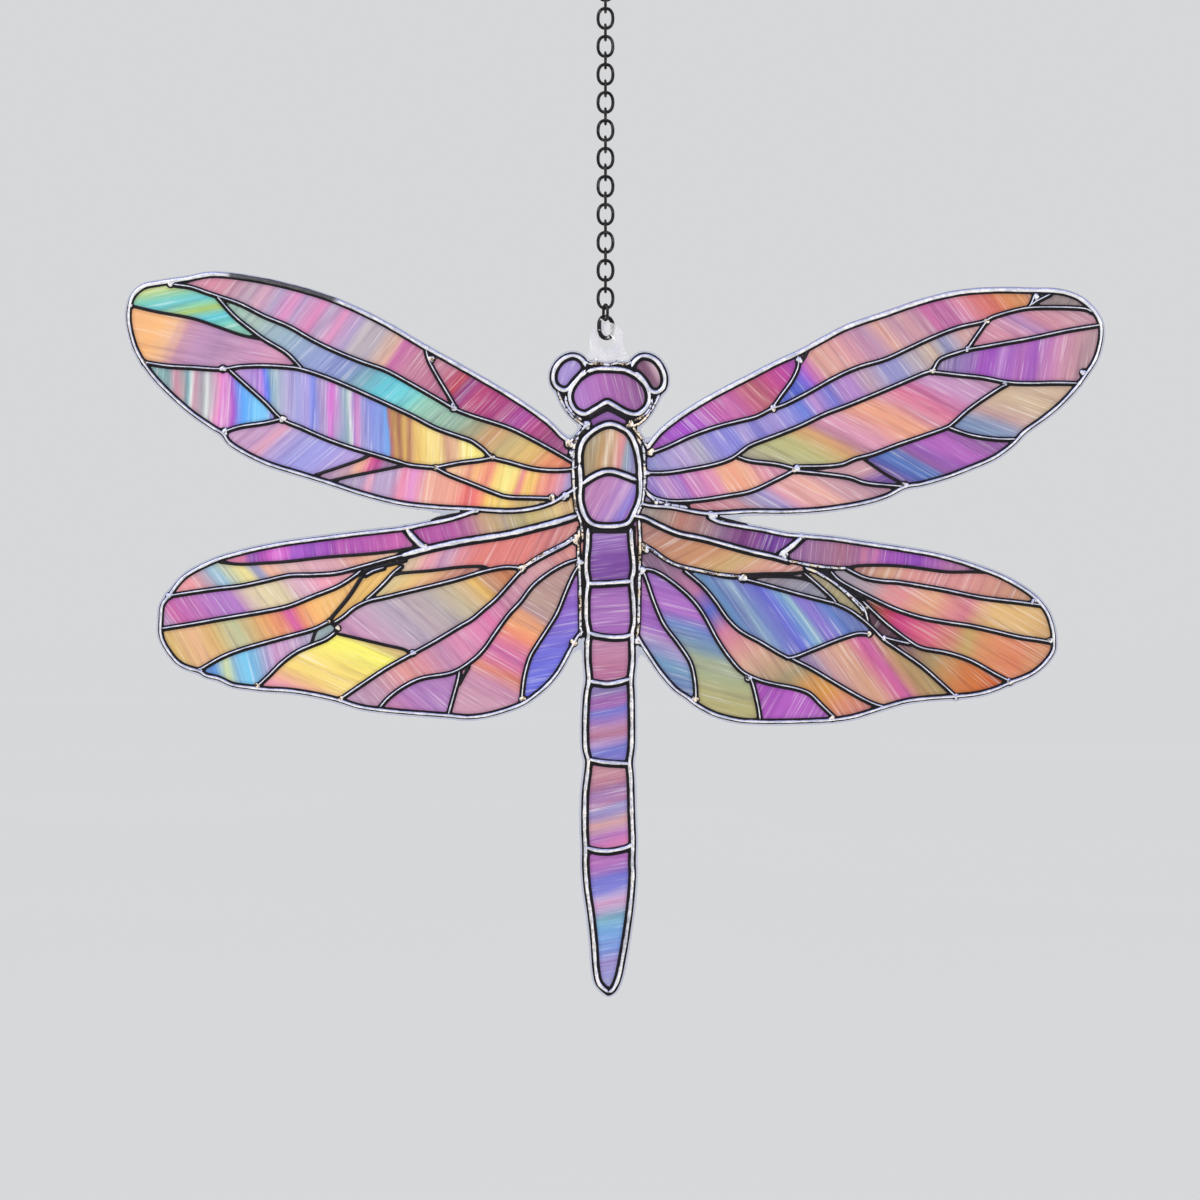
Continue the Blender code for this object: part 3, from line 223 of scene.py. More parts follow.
BODY_LINES = (
    ("body", (-4.1, -5.0), (-4.5, -3.9), (-5.6, -3), (-7.1, -2.75), (-9, -3.6), (-10.4, -5.4), (-10.8, -7.4),
     (-10.2, -9), (-8.6, -9.9), (-7.3, -9.35), (-6.5, -8.3), (-5.2, -6.9), (-4.1, -5.7)),
    ("body", (5.4, -5.1), (5.8, -4), (7.2, -2.9), (8.9, -2.9), (10.6, -3.9), (11.8, -5.8), (12.2, -7.7),
     (11.8, -9.4), (10.5, -10.3), (9.2, -9.9), (8.3, -8.5), (7, -6.9), (5.9, -6.2)),
    ("body", (-3.9, -6.1), (-2, -5.5), (0, -5.4), (2.5, -5.5), (4.3, -5.8), (6.6, -7), (8.4, -8.9),
     (9, -11), (8.6, -13.1), (6.8, -14.7), (4.8, -14.6), (2.6, -13.5), (.9, -12.5), (.4, -12.3),
     (-.2, -12.5), (-2.05, -13.6), (-4.2, -14.75), (-6.2, -14), (-7.3, -12), (-7.2, -9.8), (-5.6, -7.4),
     (-3.9, -6.2)),
    ("strand", (-4.4, -3.9), (-3, -4.5), (-1.5, -4.3), (0.5, -4.6), (2.5, -4.3), (4, -4.6), (5.5, -4)),
    ("strand", (-9.8, -10.1), (-9, -12.2), (-7.6, -14.4), (-5.6, -16.3), (-4, -17.2)),
    ("strand", (-8.2, -11), (-7.9, -12.9), (-6.4, -14.9), (-4.8, -16)),
    ("strand", (11.1, -10.7), (10, -13), (8.6, -15.2), (7, -16.7), (5.4, -17.4)),
    ("strand", (9.6, -11.6), (9.2, -13.4), (7.8, -15.2), (6, -16)),
    ("black", (-3.6, -15.6), (-2, -14.7), (.4, -13.6), (2.6, -14.5), (4.4, -15.5)),
    ("body", (-5.35, -25), (-5.35, -22.9), (-4.8, -20.7), (-3.4, -18.9), (-1.2, -17.4), (1.1, -16.8),
     (3.4, -17.6), (5, -18.8), (6.2, -21.2), (6.9, -24.3), (7.1, -27), (7.2, -30), (6.9, -32.6),
     (5.7, -35.5), (4.4, -37.3), (1, -37.85), (-2.4, -37.5), (-4.2, -35.8), (-5.2, -32.5), (-5.1, -29),
     (-5.35, -25)),
    ("body", (-5, -29.3), (-2.9, -27.8), (-.5, -26.7), (1.5, -26.6), (3.6, -27.2), (6.4, -28.3)),
    ("strand", (6.4, -19.4), (7.4, -21.1), (7.9, -22.5), (8, -25), (8.1, -27.8), (7.9, -30.7), (7.5, -33),
     (6.6, -35.4)),
    ("strand", (-5.6, -19.4), (-6.4, -21.1), (-6.6, -24), (-6.6, -27.5), (-6.4, -31), (-6, -34.4),
     (-5, -37.2), (-4.7, -40.5)),
    ("strand", (-5.4, -38.2), (-5.6, -43), (-5.3, -48), (-5.2, -54), (-5.1, -60.5)),
    ("strand", (6.9, -36.5), (7.1, -41), (7, -46), (6.9, -52), (6.8, -57), (6.5, -61)),
    ("strand", (-17, -46.3), (-15, -44.9), (-12.5, -43.4), (-8.2, -41.2), (-5.8, -39.4)),
    ("strand", (28.2, -48.2), (22, -47.5), (15, -45.9), (12.3, -44.6), (9.2, -42.4), (7.4, -41.3)),
    ("strand", (41, -46.3), (44, -47.6), (48, -50.2), (51.5, -53.5), (53.3, -55.5)),
    ("strand", (8.4, -31), (10.5, -32.6), (13.2, -33.3), (17, -34)),
    ("wedge", (21, -35.6), (24, -36.3), (26.5, -37), (29.5, -37.8)),
    ("wedge", (-27.5, -34.9), (-30, -35.25), (-32.5, -35.8), (-36, -36.7)),
    ("strand", (-3.6, -16.6), (-5, -18.2), (-6.6, -19.8), (-7.4, -20.6)),
    ("strand", (4.9, -16.7), (6.2, -18.2), (7.8, -20.2), (8.8, -21.8)),
    ("rail", (-3.6, -38.2), (-3.7, -41.9), (-3.95, -44.2), (-3.95, -47.2), (-3.6, -49.4), (-3.9, -52),
     (-3.95, -56.7), (-3.5, -59.6), (-3.7, -62), (-3.7, -65.4), (-3.4, -69.4), (-3.9, -72.5),
     (-4.2, -78.1), (-4.1, -83.5), (-3.5, -85.9), (-3.7, -88.5), (-4.2, -93), (-4.3, -99.7),
     (-4.1, -104.2), (-4.15, -107.4), (-3.8, -112.1), (-3, -117.7), (-2.4, -123.2), (-2, -128.75),
     (-1.3, -131.8), (.6, -133.6)),
    ("rail", (5.2, -38.2), (5.4, -41.5), (5.8, -45.1), (5.8, -47.2), (5.4, -49.1), (5.8, -53.5),
     (5.9, -57.7), (5.5, -59.8), (5.55, -65.4), (5.2, -69.2), (5.35, -73), (5.4, -82.3), (4.95, -86.4),
     (5.2, -89.7), (5.4, -96.9), (5.6, -102.4), (5.5, -107.1), (5.6, -109.4), (5.2, -114.9),
     (4.5, -120.4), (3.7, -125.4), (2.7, -130.4), (1.6, -132.9), (.6, -133.6)),
    ("bar", (-3.6, -49.6), (0, -49.5), (5.4, -49.1)),
    ("bar", (-3.5, -59.6), (-1.9, -60.15), (1.5, -60.6), (4.4, -60.4), (5.5, -59.8)),
    ("bar", (-3.4, -69.6), (0, -70.15), (2.3, -69.9), (5.2, -69.1)),
    ("bar", (-3.5, -85.7), (0, -86.3), (4.9, -86.6)),
    ("bar", (-4.1, -103.8), (-1.75, -104.4), (1, -104.5), (4.35, -103.8), (5.5, -103)),
    ("dark", (-3, -38.8), (1, -38.9), (4.6, -38.8)),
)
# Solder blobs where lines meet: middle and radius
BLOBS = (
    (-89.3, 12.2, 1), (-78.6, -5.4, .9), (-94.8, -4.2, .8), (-78.3, -18.4, 1), (-66.3, -15.8, .9),
    (-35.8, -3.4, .9), (-31.2, -13.4, 1), (-34.9, -25.7, .7), (-26.7, -34.6, .8), (-23.3, -23.6, .8),
    (-11, -32, 1), (-8.3, -31.6, 1.1), (-97.6, 7.5, .6), (-7.4, -20.8, 1.3), (-6.9, -22.8, .9),
    (39.2, -26, 1.1), (61.5, -29.3, .9), (82, -8.4, .7), (74.4, -1.4, .7), (67.2, -5.9, .8),
    (78.3, 4.3, .7), (34.5, -13.5, .9), (97.3, -8.5, .6), (98.2, -6.2, .9), (39.8, -3.6, .9),
    (88.6, 9.3, .9), (9.3, -22.6, 1), (8.4, -26.8, .8), (10.4, -32.6, 1), (12.6, -33.3, .8),
    (-89.7, -52, .9), (-83.4, -67.4, .7), (-71.6, -70.7, .8), (-54.4, -73.4, .8), (-39.6, -63.8, .8),
    (-40.8, -38.3, .8), (-37, -42.3, .9), (-17.2, -46.5, 1.1), (-17, -73.3, .9), (-6.5, -61.8, 1),
    (-6, -40.6, 1.2), (-5.3, -45.3, 1), (-57, -57.4, .6), (40.4, -39.9, .8), (36.8, -43.9, 1),
    (28.3, -48.4, 1.1), (22, -35.6, 1.3), (57.2, -60.8, .7), (88, -53.3, .8), (91.4, -61.3, .8),
    (83.1, -69.8, .9), (72, -72.8, .8), (46.6, -77.3, .9), (18.4, -73.4, .9), (8.2, -42.4, 1.1),
    (7.6, -46.9, 1), (53.5, -54.8, .7), (6.6, -61.5, .9), (-3.8, -17, 1.1), (5.1, -16.9, 1.1),
    (29.4, -69, .9), (-55, -58.7, .7), (54.2, -59.9, .7),
)
WINGS = {"left_fore": LEFT_FORE_WING, "right_fore": RIGHT_FORE_WING, "left_hind": LEFT_HIND_WING,
         "right_hind": RIGHT_HIND_WING, "body": BODY_LINES}
GRID = 0.4
grid_x, grid_y = np.meshgrid(np.arange(-104.0, 108.0, GRID), np.arange(-140.0, 19.0, GRID))


def curve_through(points, spacing):
    """Catmull-Rom curve: each stretch is the cubic whose end slopes are half the step between neighbours."""
    p = np.array(points, dtype=float)
    p = np.vstack([2 * p[0] - p[1], p, 2 * p[-1] - p[-2]])
    stretches = []
    for a, b, c, d in zip(p, p[1:], p[2:], p[3:]):
        t = np.linspace(0.0, 1.0, max(3, int(np.hypot(*(c - b)) / spacing) + 1))[:-1, None]
        stretches.append(0.5 * (2 * b + (c - a) * t + (2 * a - 5 * b + 4 * c - d) * t**2
                                + (3 * b - a - 3 * c + d) * t**3))
    stretches.append(p[-2:-1])
    return np.vstack(stretches)


def lower_to_curve(field, curve, radius, reach=2.6):
    """Keeps the smaller of the field and the distance from the curve less the radius, near the curve."""
    for a, b in zip(curve[:-1], curve[1:]):
        low = np.minimum(a, b) - radius - reach
        high = np.maximum(a, b) + radius + reach
        i0, j0 = ((low - (grid_x[0, 0], grid_y[0, 0])) / GRID).astype(int).clip(0)
        i1, j1 = ((high - (grid_x[0, 0], grid_y[0, 0])) / GRID).astype(int) + 2
        x, y = grid_x[j0:j1, i0:i1] - a[0], grid_y[j0:j1, i0:i1] - a[1]
        step = b - a
        t = ((x * step[0] + y * step[1]) / max(step @ step, 1e-9)).clip(0.0, 1.0)
        away = np.hypot(x - t * step[0], y - t * step[1]) - radius
        np.minimum(field[j0:j1, i0:i1], away, out=field[j0:j1, i0:i1])


FAR = 3.0
# How far a blob's dark ring is moved down, as a painted shadow under the blob
BLOB_PAINTED_SHADOW_DROP = 0.1
BLOB_SHARE = 0.8
BLOB_RIM = 0.2
# The printed dark borders. Each is moved down so that it also paints a shadow below its lead line or solder
# blob.
border_and_shadow = np.full(grid_x.shape, FAR)
for lines in WINGS.values():
    for kind, *points in lines:
        dark, painted_shadow_drop = KINDS[kind][1:]
        if kind != "wedge":
            lower_to_curve(border_and_shadow, curve_through(points, 0.9) - (0.0, painted_shadow_drop), dark)
for x, y, radius in BLOBS:
    spot = np.array([(x, y - BLOB_PAINTED_SHADOW_DROP), (x + 0.01, y - BLOB_PAINTED_SHADOW_DROP)])
    lower_to_curve(border_and_shadow, spot, BLOB_SHARE * radius + BLOB_RIM)


# The coloured glass look: one print on the sheet's front, in cells between the lead lines. Each cell has a
# point inside it, the axis its colours are placed along, the angle its colour bands lean at (and that of its
# streaks, where they differ), and (place, r, g, b) stops.
CELLS = (
    ((-60, 5), "x", 52, (-90, 205, 165, 178), (-84, 205, 160, 175), (-80, 214, 140, 165),
     (-77, 210, 150, 170), (-73, 190, 165, 185), (-70, 214, 165, 190), (-68, 180, 165, 200),
     (-65, 225, 150, 200), (-63, 190, 165, 205), (-60, 222, 140, 190), (-57.5, 185, 165, 200),
     (-55, 225, 150, 195), (-52, 180, 165, 205), (-50, 200, 190, 195), (-47, 180, 170, 185),
     (-44, 225, 185, 165), (-42, 200, 110, 170), (-39, 205, 140, 165), (-35, 190, 120, 150)),
    ((-25, -12), "x", 45, (-33, 200, 140, 160), (-31, 185, 95, 125), (-29, 190, 70, 90),
     (-27.5, 150, 75, 140), (-25.5, 190, 75, 125), (-23, 175, 65, 125), (-20, 175, 75, 135),
     (-17, 170, 75, 160), (-14, 185, 80, 145), (-12, 170, 80, 130), (-9, 160, 85, 135)),
    ((-87, 8.4), "x", 12, (-97, 160, 185, 165), (-94, 195, 215, 130), (-90, 130, 205, 185),
     (-87, 110, 205, 215), (-84.5, 150, 215, 175), (-82.5, 185, 220, 120), (-80.5, 130, 200, 190),
     (-78.5, 100, 210, 225), (-75.5, 120, 210, 195), (-72, 140, 205, 185)),
    ((-85, 0), "x", (68, 168), (-97, 245, 185, 130), (-92.5, 250, 190, 130), (-90, 240, 190, 150),
     (-87, 200, 150, 175), (-84, 195, 150, 190), (-80, 185, 145, 185), (-76, 200, 155, 190),
     (-72, 205, 150, 190), (-68, 220, 160, 190), (-64, 210, 150, 185)),
    ((-60, -3), "x", 45, (-78, 165, 200, 185), (-73, 170, 195, 185), (-69, 160, 185, 195),
     (-65, 150, 175, 200), (-60, 150, 165, 210), (-57, 145, 160, 215), (-53, 135, 150, 205),
     (-50, 125, 170, 190), (-46, 105, 200, 215), (-43, 110, 210, 225), (-40, 130, 215, 210),
     (-38, 150, 210, 190), (-34, 150, 190, 170), (-30, 150, 180, 160), (-26.5, 175, 170, 135),
     (-24, 210, 160, 115), (-20, 200, 180, 130), (-17, 225, 190, 120), (-15, 220, 175, 110),
     (-12, 235, 150, 110), (-10, 225, 140, 110), (-7, 220, 130, 120)),
    ((-80, -11), "x", 86, (-93, 140, 180, 180), (-90.5, 140, 180, 180), (-88.5, 225, 160, 180),
     (-87.2, 190, 170, 175), (-86, 125, 175, 185), (-85.3, 235, 245, 240), (-84.4, 205, 160, 180),
     (-83, 170, 170, 180), (-82, 230, 240, 235), (-81.2, 190, 175, 190), (-80, 235, 150, 200),
     (-79, 220, 130, 215), (-78, 235, 170, 220), (-77.3, 175, 90, 200), (-76, 130, 140, 235),
     (-74.5, 100, 170, 250), (-72, 120, 205, 255), (-70, 130, 200, 250), (-68.5, 160, 150, 225)),
    ((-55, -14), "x", 88, (-76, 195, 150, 215), (-73, 180, 150, 220), (-71, 190, 140, 230),
     (-69.9, 90, 120, 245), (-68.7, 150, 190, 210), (-67.5, 165, 185, 205), (-65.5, 185, 175, 220),
     (-63.5, 165, 165, 225), (-61.5, 185, 170, 235), (-60, 130, 145, 235), (-58.5, 180, 165, 215),
     (-57.3, 180, 150, 205), (-56.5, 235, 130, 225), (-55.3, 190, 160, 210), (-54, 150, 170, 200),
     (-52.9, 160, 185, 195), (-52.3, 235, 240, 240), (-51.6, 165, 130, 200), (-51, 225, 150, 210),
     (-50, 160, 155, 215), (-48, 140, 150, 225), (-46, 140, 165, 235), (-45, 110, 170, 240),
     (-44.4, 180, 110, 110), (-43.3, 205, 165, 100), (-42.4, 165, 110, 90), (-41.2, 225, 185, 105),
     (-40, 190, 135, 105), (-39, 235, 195, 115), (-37.5, 245, 215, 130), (-36, 252, 228, 140),
     (-34, 245, 215, 140), (-32.5, 220, 170, 140), (-31, 235, 190, 150), (-29.5, 252, 235, 140),
     (-27, 255, 242, 140), (-25, 250, 230, 130)),
    ((-66, -21), "x", 40, (-76, 200, 160, 200), (-73, 205, 165, 205), (-70.5, 225, 165, 190),
     (-68.5, 190, 165, 215), (-65, 165, 160, 225), (-61, 160, 160, 230), (-58, 165, 160, 230),
     (-55, 175, 160, 225), (-51, 185, 160, 220)),
    ((-50, -25.6), "x", 70, (-56, 190, 160, 190), (-52.5, 205, 165, 175), (-50.5, 240, 180, 155),
     (-48.5, 235, 130, 160), (-47, 215, 85, 155), (-45, 170, 120, 165), (-43, 150, 130, 165)),
    ((-40, -29), "x", 80, (-55, 175, 165, 195), (-50, 185, 165, 200), (-48.5, 230, 160, 190),
     (-47, 185, 165, 205), (-44, 190, 165, 205), (-42, 240, 150, 180), (-40, 230, 150, 210),
     (-38.5, 235, 160, 180), (-37, 240, 180, 160), (-34, 235, 165, 150), (-31, 245, 170, 150),
     (-29, 245, 130, 125), (-27, 240, 120, 120), (-25.5, 250, 150, 125), (-24, 252, 205, 115),
     (-21.5, 250, 220, 125), (-19, 240, 200, 120), (-17, 205, 180, 125), (-14, 215, 190, 135),
     (-12, 225, 195, 140)),
    ((-20, -28), "x", 76, (-34, 250, 190, 160), (-31, 250, 205, 160), (-28.5, 240, 165, 140),
     (-26.5, 250, 190, 130), (-24.5, 245, 150, 130), (-23, 252, 215, 130), (-21.5, 252, 225, 130),
     (-20, 252, 242, 150), (-18.5, 252, 215, 130), (-17.5, 235, 140, 150), (-16.5, 250, 190, 120),
     (-15.2, 255, 215, 120), (-13.5, 240, 160, 130), (-11, 240, 150, 150), (-9.5, 215, 150, 180),
     (-8, 170, 160, 210)),
    ((25, -13.3), "x", 135, (9, 150, 85, 170), (12, 165, 90, 195), (15, 170, 85, 205), (18, 175, 90, 200),
     (20, 190, 110, 190), (22, 190, 90, 170), (24.5, 215, 130, 185), (25.5, 190, 100, 165),
     (28, 200, 110, 140), (30, 190, 110, 120), (33, 195, 85, 140), (36, 190, 75, 160), (38, 170, 80, 170)),
    ((60, 2), "x", 128, (37, 90, 105, 205), (38.5, 130, 105, 215), (39.5, 170, 105, 215),
     (41, 205, 120, 190), (43, 220, 165, 155), (46, 225, 170, 160), (48, 220, 160, 160),
     (50, 215, 155, 170), (53, 190, 140, 170), (55, 190, 150, 180), (57.5, 225, 170, 155),
     (60, 195, 150, 170), (62.5, 205, 155, 165), (65, 190, 140, 165), (67, 200, 110, 165),
     (70, 190, 110, 165), (73, 215, 140, 170), (76, 215, 125, 130), (78, 225, 125, 110), (81, 215, 140, 95),
     (83, 215, 145, 90), (86, 190, 140, 120)),
    ((94.5, 8.6), "x", 60, (90, 150, 135, 135), (98, 155, 140, 140)),
    ((88, 4), "x", 150, (76, 205, 140, 165), (80, 210, 145, 165), (84, 205, 150, 180), (87, 185, 140, 190),
     (90, 210, 145, 165), (94, 205, 150, 165), (99, 195, 150, 165)),
    ((85, -4), "x", 80, (69, 150, 130, 175), (72, 145, 125, 180), (75, 155, 115, 185), (77, 165, 95, 190),
     (79.5, 160, 85, 190), (81.5, 200, 150, 215), (83, 165, 100, 190), (85.5, 185, 115, 190),
     (88, 165, 95, 190), (90.5, 185, 120, 185), (93, 205, 140, 180), (96, 200, 150, 165),
     (99, 180, 145, 155)),
    ((50, -9.3), "x", 128, (10, 140, 140, 200), (13, 165, 155, 210), (16, 185, 165, 215),
     (19, 165, 160, 185), (21, 150, 145, 200), (24, 145, 140, 220), (26, 130, 130, 215),
     (28, 180, 165, 220), (31, 130, 125, 205), (34, 165, 150, 215), (37, 150, 145, 220),
     (40.5, 110, 130, 220), (43, 190, 145, 210), (46, 120, 120, 210), (48.5, 180, 140, 205),
     (51, 175, 130, 200), (54, 190, 160, 180), (58, 150, 150, 205), (60.5, 150, 150, 200),
     (62.5, 175, 165, 185), (67.5, 205, 180, 160), (70, 150, 155, 195), (74, 205, 160, 160)),
    ((55, -16.5), "x", 153, (28, 150, 150, 140), (31, 165, 160, 140), (36, 185, 185, 135),
     (40, 190, 185, 130), (43, 205, 170, 115), (45, 215, 165, 120), (47, 185, 130, 150),
     (50, 220, 155, 185), (53, 225, 160, 170), (56, 235, 165, 140), (60, 235, 165, 140),
     (63, 215, 145, 165), (66, 225, 130, 160), (69, 205, 120, 165), (72, 200, 150, 195),
     (76, 195, 150, 190), (80, 190, 150, 175)),
    ((84, -13.5), "x", 160, (71, 130, 145, 185), (75, 130, 155, 190), (78, 150, 155, 185),
     (81, 205, 170, 165), (85, 200, 175, 155), (89, 205, 180, 150), (94, 205, 178, 155)),
    ((66, -24), "x", 150, (52, 130, 90, 160), (56, 125, 90, 165), (59, 90, 110, 185), (62, 85, 120, 190),
     (64.5, 110, 125, 190), (66, 150, 100, 165), (69, 150, 95, 180), (72, 185, 110, 195),
     (76, 180, 105, 190), (80, 150, 100, 165)),
    ((51.5, -26.2), "x", 20, (41, 190, 150, 175), (47, 205, 160, 170), (53, 205, 160, 170),
     (57, 130, 95, 165), (60, 120, 90, 160)),
    ((36, -31.5), "x", 150, (12, 190, 130, 130), (15, 200, 135, 145), (21, 195, 130, 145),
     (27, 200, 145, 155), (30, 170, 150, 175), (33, 160, 150, 195), (35, 165, 150, 205),
     (38, 215, 155, 180), (41, 240, 180, 170), (44, 225, 165, 165), (46, 238, 180, 165),
     (49, 205, 155, 165), (56, 190, 150, 165)),
    ((20, -29), "x", 125, (8, 140, 120, 195), (10.5, 150, 125, 200), (13, 195, 150, 200),
     (15.5, 150, 95, 190), (17.5, 205, 125, 190), (20, 212, 135, 190), (22.5, 225, 150, 180),
     (24.5, 240, 175, 145), (27, 238, 165, 140), (29.5, 240, 180, 150), (32, 220, 150, 165),
     (35, 215, 150, 175), (38, 200, 145, 170)),
    ((-60, -42.5), "x", 100, (-79, 200, 130, 165), (-75.5, 225, 135, 170), (-74.2, 205, 120, 175),
     (-73, 150, 95, 185), (-71, 180, 85, 185), (-69, 220, 110, 210), (-67.5, 230, 140, 225),
     (-66, 220, 110, 210), (-64.6, 165, 95, 205), (-63, 180, 100, 210), (-61, 150, 85, 190),
     (-59, 175, 95, 200), (-57, 160, 80, 185), (-55, 190, 95, 185), (-51, 180, 90, 180),
     (-47, 190, 95, 175), (-43, 205, 105, 180), (-41, 180, 95, 160)),
    ((-25, -37.3), "x", 108, (-38, 175, 80, 160), (-35, 185, 95, 170), (-31, 185, 100, 165),
     (-28.5, 190, 120, 160), (-26, 195, 150, 140), (-24, 200, 170, 130), (-21, 185, 165, 140),
     (-18, 185, 175, 130), (-15.5, 205, 185, 125), (-13, 200, 180, 130), (-10, 225, 200, 140),
     (-7, 215, 180, 130)),
    ((-65, -46.4), "x", 128, (-88, 235, 160, 165), (-86, 245, 165, 170), (-83, 200, 170, 185),
     (-80, 150, 190, 215), (-77, 205, 210, 170), (-74, 240, 225, 150), (-71.5, 160, 165, 210),
     (-69, 240, 180, 150), (-66, 225, 190, 185), (-60, 225, 175, 190), (-55, 215, 165, 175),
     (-50, 240, 180, 150), (-46, 235, 195, 165)),
    ((-75, -53), "x", 126, (-91, 195, 150, 195), (-89, 205, 105, 170), (-86.5, 195, 110, 180),
     (-83, 195, 120, 190), (-80, 180, 125, 200), (-76, 185, 130, 205), (-73.5, 215, 190, 180),
     (-71, 230, 215, 175), (-66, 228, 212, 175), (-64, 220, 185, 190), (-62, 225, 180, 200),
     (-59, 235, 165, 190), (-56, 245, 165, 185), (-53, 225, 160, 170)),
    ((-75, -59.5), "x", 118, (-91, 215, 180, 120), (-88, 220, 185, 115), (-84, 235, 185, 145),
     (-80, 225, 185, 120), (-77.5, 205, 195, 145), (-75, 195, 200, 160), (-72, 215, 180, 125),
     (-69, 240, 170, 110), (-66, 230, 140, 120), (-64.3, 215, 95, 170), (-63, 235, 145, 120),
     (-60, 250, 185, 115), (-58, 250, 195, 120), (-55, 240, 190, 120)),
    ((-75, -67), "x", 105, (-83, 120, 165, 225), (-79.5, 110, 170, 235), (-77.3, 215, 225, 175),
     (-75.5, 140, 200, 235), (-73.5, 125, 205, 245), (-71, 150, 195, 230), (-68, 215, 165, 210),
     (-64, 200, 165, 205), (-61, 180, 170, 200)),
    ((-57.8, -59.5), "x", 60, (-60, 160, 180, 180), (-56, 155, 175, 178)),
    ((-58, -68), "x", 155, (-70, 235, 160, 170), (-67, 240, 160, 175), (-64, 245, 190, 150),
     (-61, 250, 220, 130), (-57, 252, 225, 130), (-53, 250, 232, 125), (-49, 255, 250, 120),
     (-46, 255, 248, 120), (-44, 225, 200, 135), (-41, 205, 170, 130)),
    ((-49, -50.3), "x", 50, (-56, 235, 190, 115), (-48, 240, 195, 115)),
    ((-40, -49.2), "x", 40, (-48, 215, 200, 155), (-43, 225, 200, 140), (-40, 235, 195, 130),
     (-35, 220, 170, 130), (-31, 205, 145, 125), (-26, 190, 130, 120)),
    ((-28, -43.5), "x", 62, (-42, 215, 195, 165), (-39, 225, 195, 165), (-36, 240, 165, 175),
     (-32, 200, 155, 190), (-29, 225, 145, 155), (-25, 225, 130, 125), (-20, 228, 135, 130),
     (-15, 225, 130, 125), (-11, 210, 130, 130), (-7, 205, 140, 135)),
    ((-38, -56.5), "x", 140, (-55, 205, 150, 185), (-50, 205, 155, 190), (-46, 195, 165, 190),
     (-42, 185, 170, 190), (-38, 190, 172, 180), (-34, 185, 175, 175), (-30, 200, 185, 155),
     (-27, 215, 185, 140), (-24.5, 240, 195, 110), (-22, 200, 150, 120), (-19, 200, 130, 90)),
    ((-35, -65), "x", 132, (-50, 190, 155, 185), (-46, 195, 150, 175), (-43, 215, 155, 165),
     (-40, 230, 155, 150), (-37, 215, 145, 165), (-34, 200, 145, 180), (-31, 220, 145, 180),
     (-28, 225, 145, 185), (-24, 220, 120, 170), (-20, 200, 140, 165), (-17, 205, 150, 165),
     (-12, 210, 160, 165), (-8, 215, 145, 140)),
    ((-38, -72.8), "x", 140, (-45, 205, 140, 175), (-41, 190, 130, 185), (-37, 180, 130, 195),
     (-33, 180, 130, 190)),
    ((-21, -66), "y", 150, (-76, 205, 155, 180), (-72, 205, 145, 175), (-69, 225, 140, 120),
     (-67.5, 215, 120, 150), (-65, 210, 115, 170), (-62, 225, 130, 155), (-60, 238, 145, 120),
     (-57.5, 245, 168, 120), (-55, 225, 160, 125), (-53, 180, 145, 150), (-50, 190, 160, 150),
     (-47, 185, 150, 145)),
    ((-7.5, -56), "y", 10, (-70, 110, 115, 225), (-65, 115, 115, 225), (-60, 130, 115, 215),
     (-55, 145, 105, 205), (-50, 160, 110, 200), (-46, 160, 115, 195)),
    ((25, -39.5), "x", 70, (9, 155, 145, 140), (12, 165, 140, 130), (16, 180, 125, 115),
     (20, 170, 130, 130), (24, 150, 120, 150), (27, 140, 90, 140), (29, 120, 65, 125), (31.5, 135, 75, 145),
     (34, 110, 60, 150), (37, 130, 80, 165)),
    ((60, -44.2), "x", 84, (41, 155, 110, 160), (44, 160, 115, 155), (49, 170, 115, 140),
     (52.3, 160, 105, 150), (53.5, 205, 130, 165), (54.5, 165, 105, 160), (55.5, 205, 125, 175),
     (57, 165, 95, 175), (59, 165, 90, 185), (62, 150, 75, 180), (64, 145, 75, 185), (67, 165, 95, 180),
     (72, 180, 120, 165), (77, 165, 125, 155)),
    ((75, -49.5), "x", 65, (52, 190, 140, 130), (55, 200, 150, 130), (58, 205, 160, 130),
     (62, 215, 150, 145), (68, 218, 150, 150), (75, 215, 148, 145), (80, 205, 145, 130),
     (88, 195, 150, 120)),
    ((70, -54.1), "x", (70, 150), (50, 160, 150, 165), (54, 175, 150, 160), (58, 215, 145, 150),
     (61, 222, 145, 150), (64, 220, 155, 135), (67, 222, 165, 130), (70.5, 220, 145, 140),
     (74, 215, 130, 145), (77, 222, 170, 135), (80, 225, 185, 125), (86, 222, 182, 125),
     (91, 205, 165, 115)),
    ((75, -61.7), "x", (72, 150), (53, 110, 65, 55), (55, 150, 75, 60), (57.5, 185, 70, 90),
     (60, 200, 70, 130), (63, 210, 90, 130), (67, 215, 110, 130), (70.5, 205, 130, 115),
     (74, 195, 165, 105), (77, 215, 150, 105), (80, 222, 142, 100), (84, 222, 135, 100),
     (88, 215, 150, 110), (91, 200, 140, 110)),
    ((70, -67), "x", (65, 140), (59, 130, 90, 100), (61.5, 140, 100, 105), (64, 160, 130, 105),
     (67, 170, 145, 105), (70, 195, 140, 90), (73, 205, 125, 75), (76, 210, 120, 65), (79, 200, 95, 45),
     (82, 185, 90, 60)),
    ((56.5, -58.5), "x", 60, (54, 95, 65, 80), (58, 100, 70, 85)),
    ((49.3, -52.9), "x", 60, (43, 170, 160, 130), (48, 175, 165, 125), (53, 160, 150, 120)),
    ((42, -50.7), "x", 40, (33, 150, 140, 150), (42, 145, 145, 165), (46, 150, 150, 160)),
    ((20, -43.6), "x", 30, (7, 170, 125, 115), (10, 185, 135, 120), (15, 195, 140, 110),
     (20, 200, 145, 110), (24, 205, 160, 115), (27, 205, 172, 120), (31, 210, 160, 135),
     (35, 215, 155, 145), (39, 190, 140, 130)),
